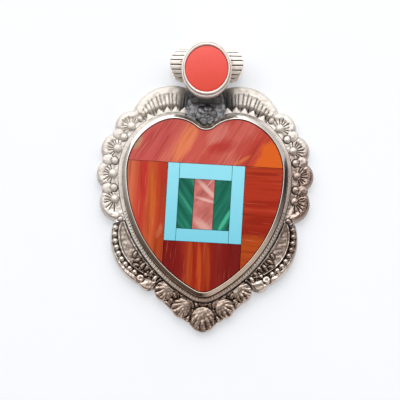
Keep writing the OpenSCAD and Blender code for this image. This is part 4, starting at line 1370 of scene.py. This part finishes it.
right_shell = banded_shell("right shell", inlay_turn - 90, (0.92, 0.9, 0.86, 1), [
    (-7.5, (180, 70, 27)), (-6.3, (166, 62, 30)), (-5.4, (160, 44, 24)), (-4.4, (152, 36, 22)),
    (-2.6, (172, 54, 28)), (-1.7, (166, 46, 24)), (-0.7, (184, 60, 38)), (0.2, (172, 48, 27)),
    (1.1, (180, 56, 34)), (3.9, (184, 56, 34)), (5.7, (186, 62, 36))], [
    ((146, 34, 22), (11.0, 5.6), -2, 3.6, 0.3, 0.7), ((158, 38, 22), (10.7, -0.1), 0, 3.4, 0.7, 0.6),
    ((146, 32, 18), (10.4, -3.2), 0, 3.2, 0.7, 0.7), ((184, 78, 28), (9.4, -8.2), -12, 3.4, 2.1, 0.85)])
bottom_shell = banded_shell("bottom shell", inlay_turn, (0.95, 0.86, 0.84, 1), [
    (-7, (120, 22, 20)), (-4.2, (138, 32, 26)), (-3.3, (152, 44, 30)), (-2.4, (166, 56, 30)),
    (-1.4, (164, 52, 26)), (-0.5, (160, 44, 20)), (0.4, (164, 52, 28)), (1.3, (148, 38, 21)),
    (2.3, (134, 32, 25)), (3.2, (140, 42, 34)), (4.1, (128, 30, 25)), (6, (120, 28, 24))], [
    ((182, 78, 34), (-2.6, -11.3), 88, 4.8, 0.5, 0.8), ((200, 88, 36), (-0.85, -12.2), 90, 4.8, 0.38, 0.8),
    ((180, 74, 30), (0.6, -11.6), 91, 4.6, 0.55, 0.75), ((160, 36, 16), (-1.75, -12.0), 90, 4.4, 0.3, 0.7),
    ((118, 20, 18), (-5.0, -11.5), 90, 3.8, 1.2, 0.5), ((126, 26, 23), (3.9, -11.2), 90, 3.8, 1.2, 0.5)])
print("shell bands:", top_shell.name, left_shell.name, right_shell.name, bottom_shell.name)

# %% [markdown]
# The square in the middle has four turquoise bars, two malachite strips and a rhodochrosite strip.
# Turquoise is nearly even, with faint clouds. Malachite has slanting fibres from dark to light green,
# and rhodochrosite pale slanting veins in dusty pink. The strongest streaks are patches of their own.

# %% Turquoise, malachite and rhodochrosite
def turquoise_blue():
    made, tree, shader = new_material("turquoise blue")
    place = millimetres(tree)
    fall = between(tree, axis_of(tree, place, "Y"), -7.5, 7.5)
    colour = ramp(tree, fall, [(0.0, linear(118, 206, 226)), (1.0, linear(148, 228, 244))])
    cloud = noise(tree, place, 0.7, 4.0)
    colour = mix(tree, times(tree, cloud, 0.25), colour, linear(114, 206, 232))
    pits = noise(tree, place, 4.0, 2.0)
    fill(tree, shader, {"Base Color": colour, "Roughness": between(tree, cloud, 0.0, 1.0, 0.16, 0.3),
                        "Normal": bump(tree, pits, 0.03, 0.00005)})
    return made


def malachite_green(name, turn, patches):
    made, tree, shader = new_material(name)
    fibre = noise(tree, millimetres(tree, turn, (0.9, 0.09, 1)), 1.0, 4.0, 0.6)
    colour = ramp(tree, fibre, [(0.34, linear(14, 84, 64)), (0.5, linear(24, 106, 86)),
                                (0.64, linear(34, 124, 100)), (0.78, linear(56, 152, 122))])
    for streak in patches:
        colour = patch(tree, colour, *streak)
    polish(tree, shader, colour, fibre, 0.1, 0.24, 0.12)
    return made


def rhodochrosite_pink(patches):
    made, tree, shader = new_material("rhodochrosite pink")
    cloud = noise(tree, millimetres(tree, 40, (0.55, 0.22, 1)), 1.0, 4.0, 0.6)
    colour = ramp(tree, cloud, [(0.34, linear(168, 88, 80)), (0.5, linear(196, 110, 104)),
                                (0.62, linear(206, 126, 118)), (0.78, linear(222, 164, 152))])
    for streak in patches:
        colour = patch(tree, colour, *streak)
    vein = noise(tree, millimetres(tree, 42, (1.5, 0.12, 1)), 1.0, 3.0)
    colour = mix(tree, between(tree, vein, 0.62, 0.78, 0.0, 0.6), colour, linear(238, 205, 196))
    polish(tree, shader, colour, cloud, 0.12, 0.26, 0.2)
    return made


turquoise = turquoise_blue()
left_green = malachite_green("left malachite", -33, [
    ((58, 150, 120), (-2.95, -0.7), -57, 2.8, 0.26, 0.8), ((70, 150, 122), (-1.6, 3.0), -62, 1.6, 0.3, 0.6)])
right_green = malachite_green("right malachite", 30, [
    ((12, 64, 50), (4.9, -4.0), 60, 1.6, 0.6, 0.8), ((72, 184, 146), (3.8, -3.1), 60, 2.7, 0.34, 0.85)])
pink = rhodochrosite_pink([
    ((230, 188, 178), (0.6, 2.4), -46, 2.4, 0.4, 0.75, 1.0),
    ((234, 190, 182), (0.4, 0.55), -16, 1.9, 0.26, 0.7, 1.0),
    ((226, 176, 164), (-0.3, -4.2), -38, 1.9, 0.7, 0.7, 1.0),
    ((174, 92, 84), (0.3, -1.9), -38, 1.8, 0.7, 0.5, 1.0)])
print("stones:", turquoise.name, left_green.name, right_green.name, pink.name)

# %% [markdown]
# The stones lie in a bed of dark cement that shows only as thin seams. The inlay, the plates and the
# hinge keep the shape that the frame gives them, since these are flat or plain turned pieces, and
# each gets its finish here.

# %% Finishes of the frame's own solids
def dark_cement():
    made, tree, shader = new_material("dark cement")
    grit = noise(tree, millimetres(tree), 5.0, 3.0)
    colour = ramp(tree, grit, [(0.3, (0.012, 0.011, 0.01, 1)), (0.8, (0.04, 0.036, 0.032, 1))])
    fill(tree, shader, {"Base Color": colour, "Roughness": 0.8, "Normal": bump(tree, grit, 0.3, 0.0001)})
    return made


finishes = {
    "shell_top": top_shell, "shell_left": left_shell, "shell_right": right_shell,
    "shell_bottom": bottom_shell, "turquoise_left": turquoise, "turquoise_right": turquoise,
    "turquoise_top": turquoise, "turquoise_bottom": turquoise, "malachite_left": left_green,
    "malachite_right": right_green, "rhodochrosite": pink, "inlay_bed": dark_cement(),
    "base_plate": satin, "coral_plate": polished, "hinge_lugs": oxide_and_shade, "hinge_pin": oxide_and_shade}
for name, finish in finishes.items():
    for slot in nodes[name].material_slots:
        slot.material = finish
print(len(finishes), "solids of the frame keep their shape and get a finish")
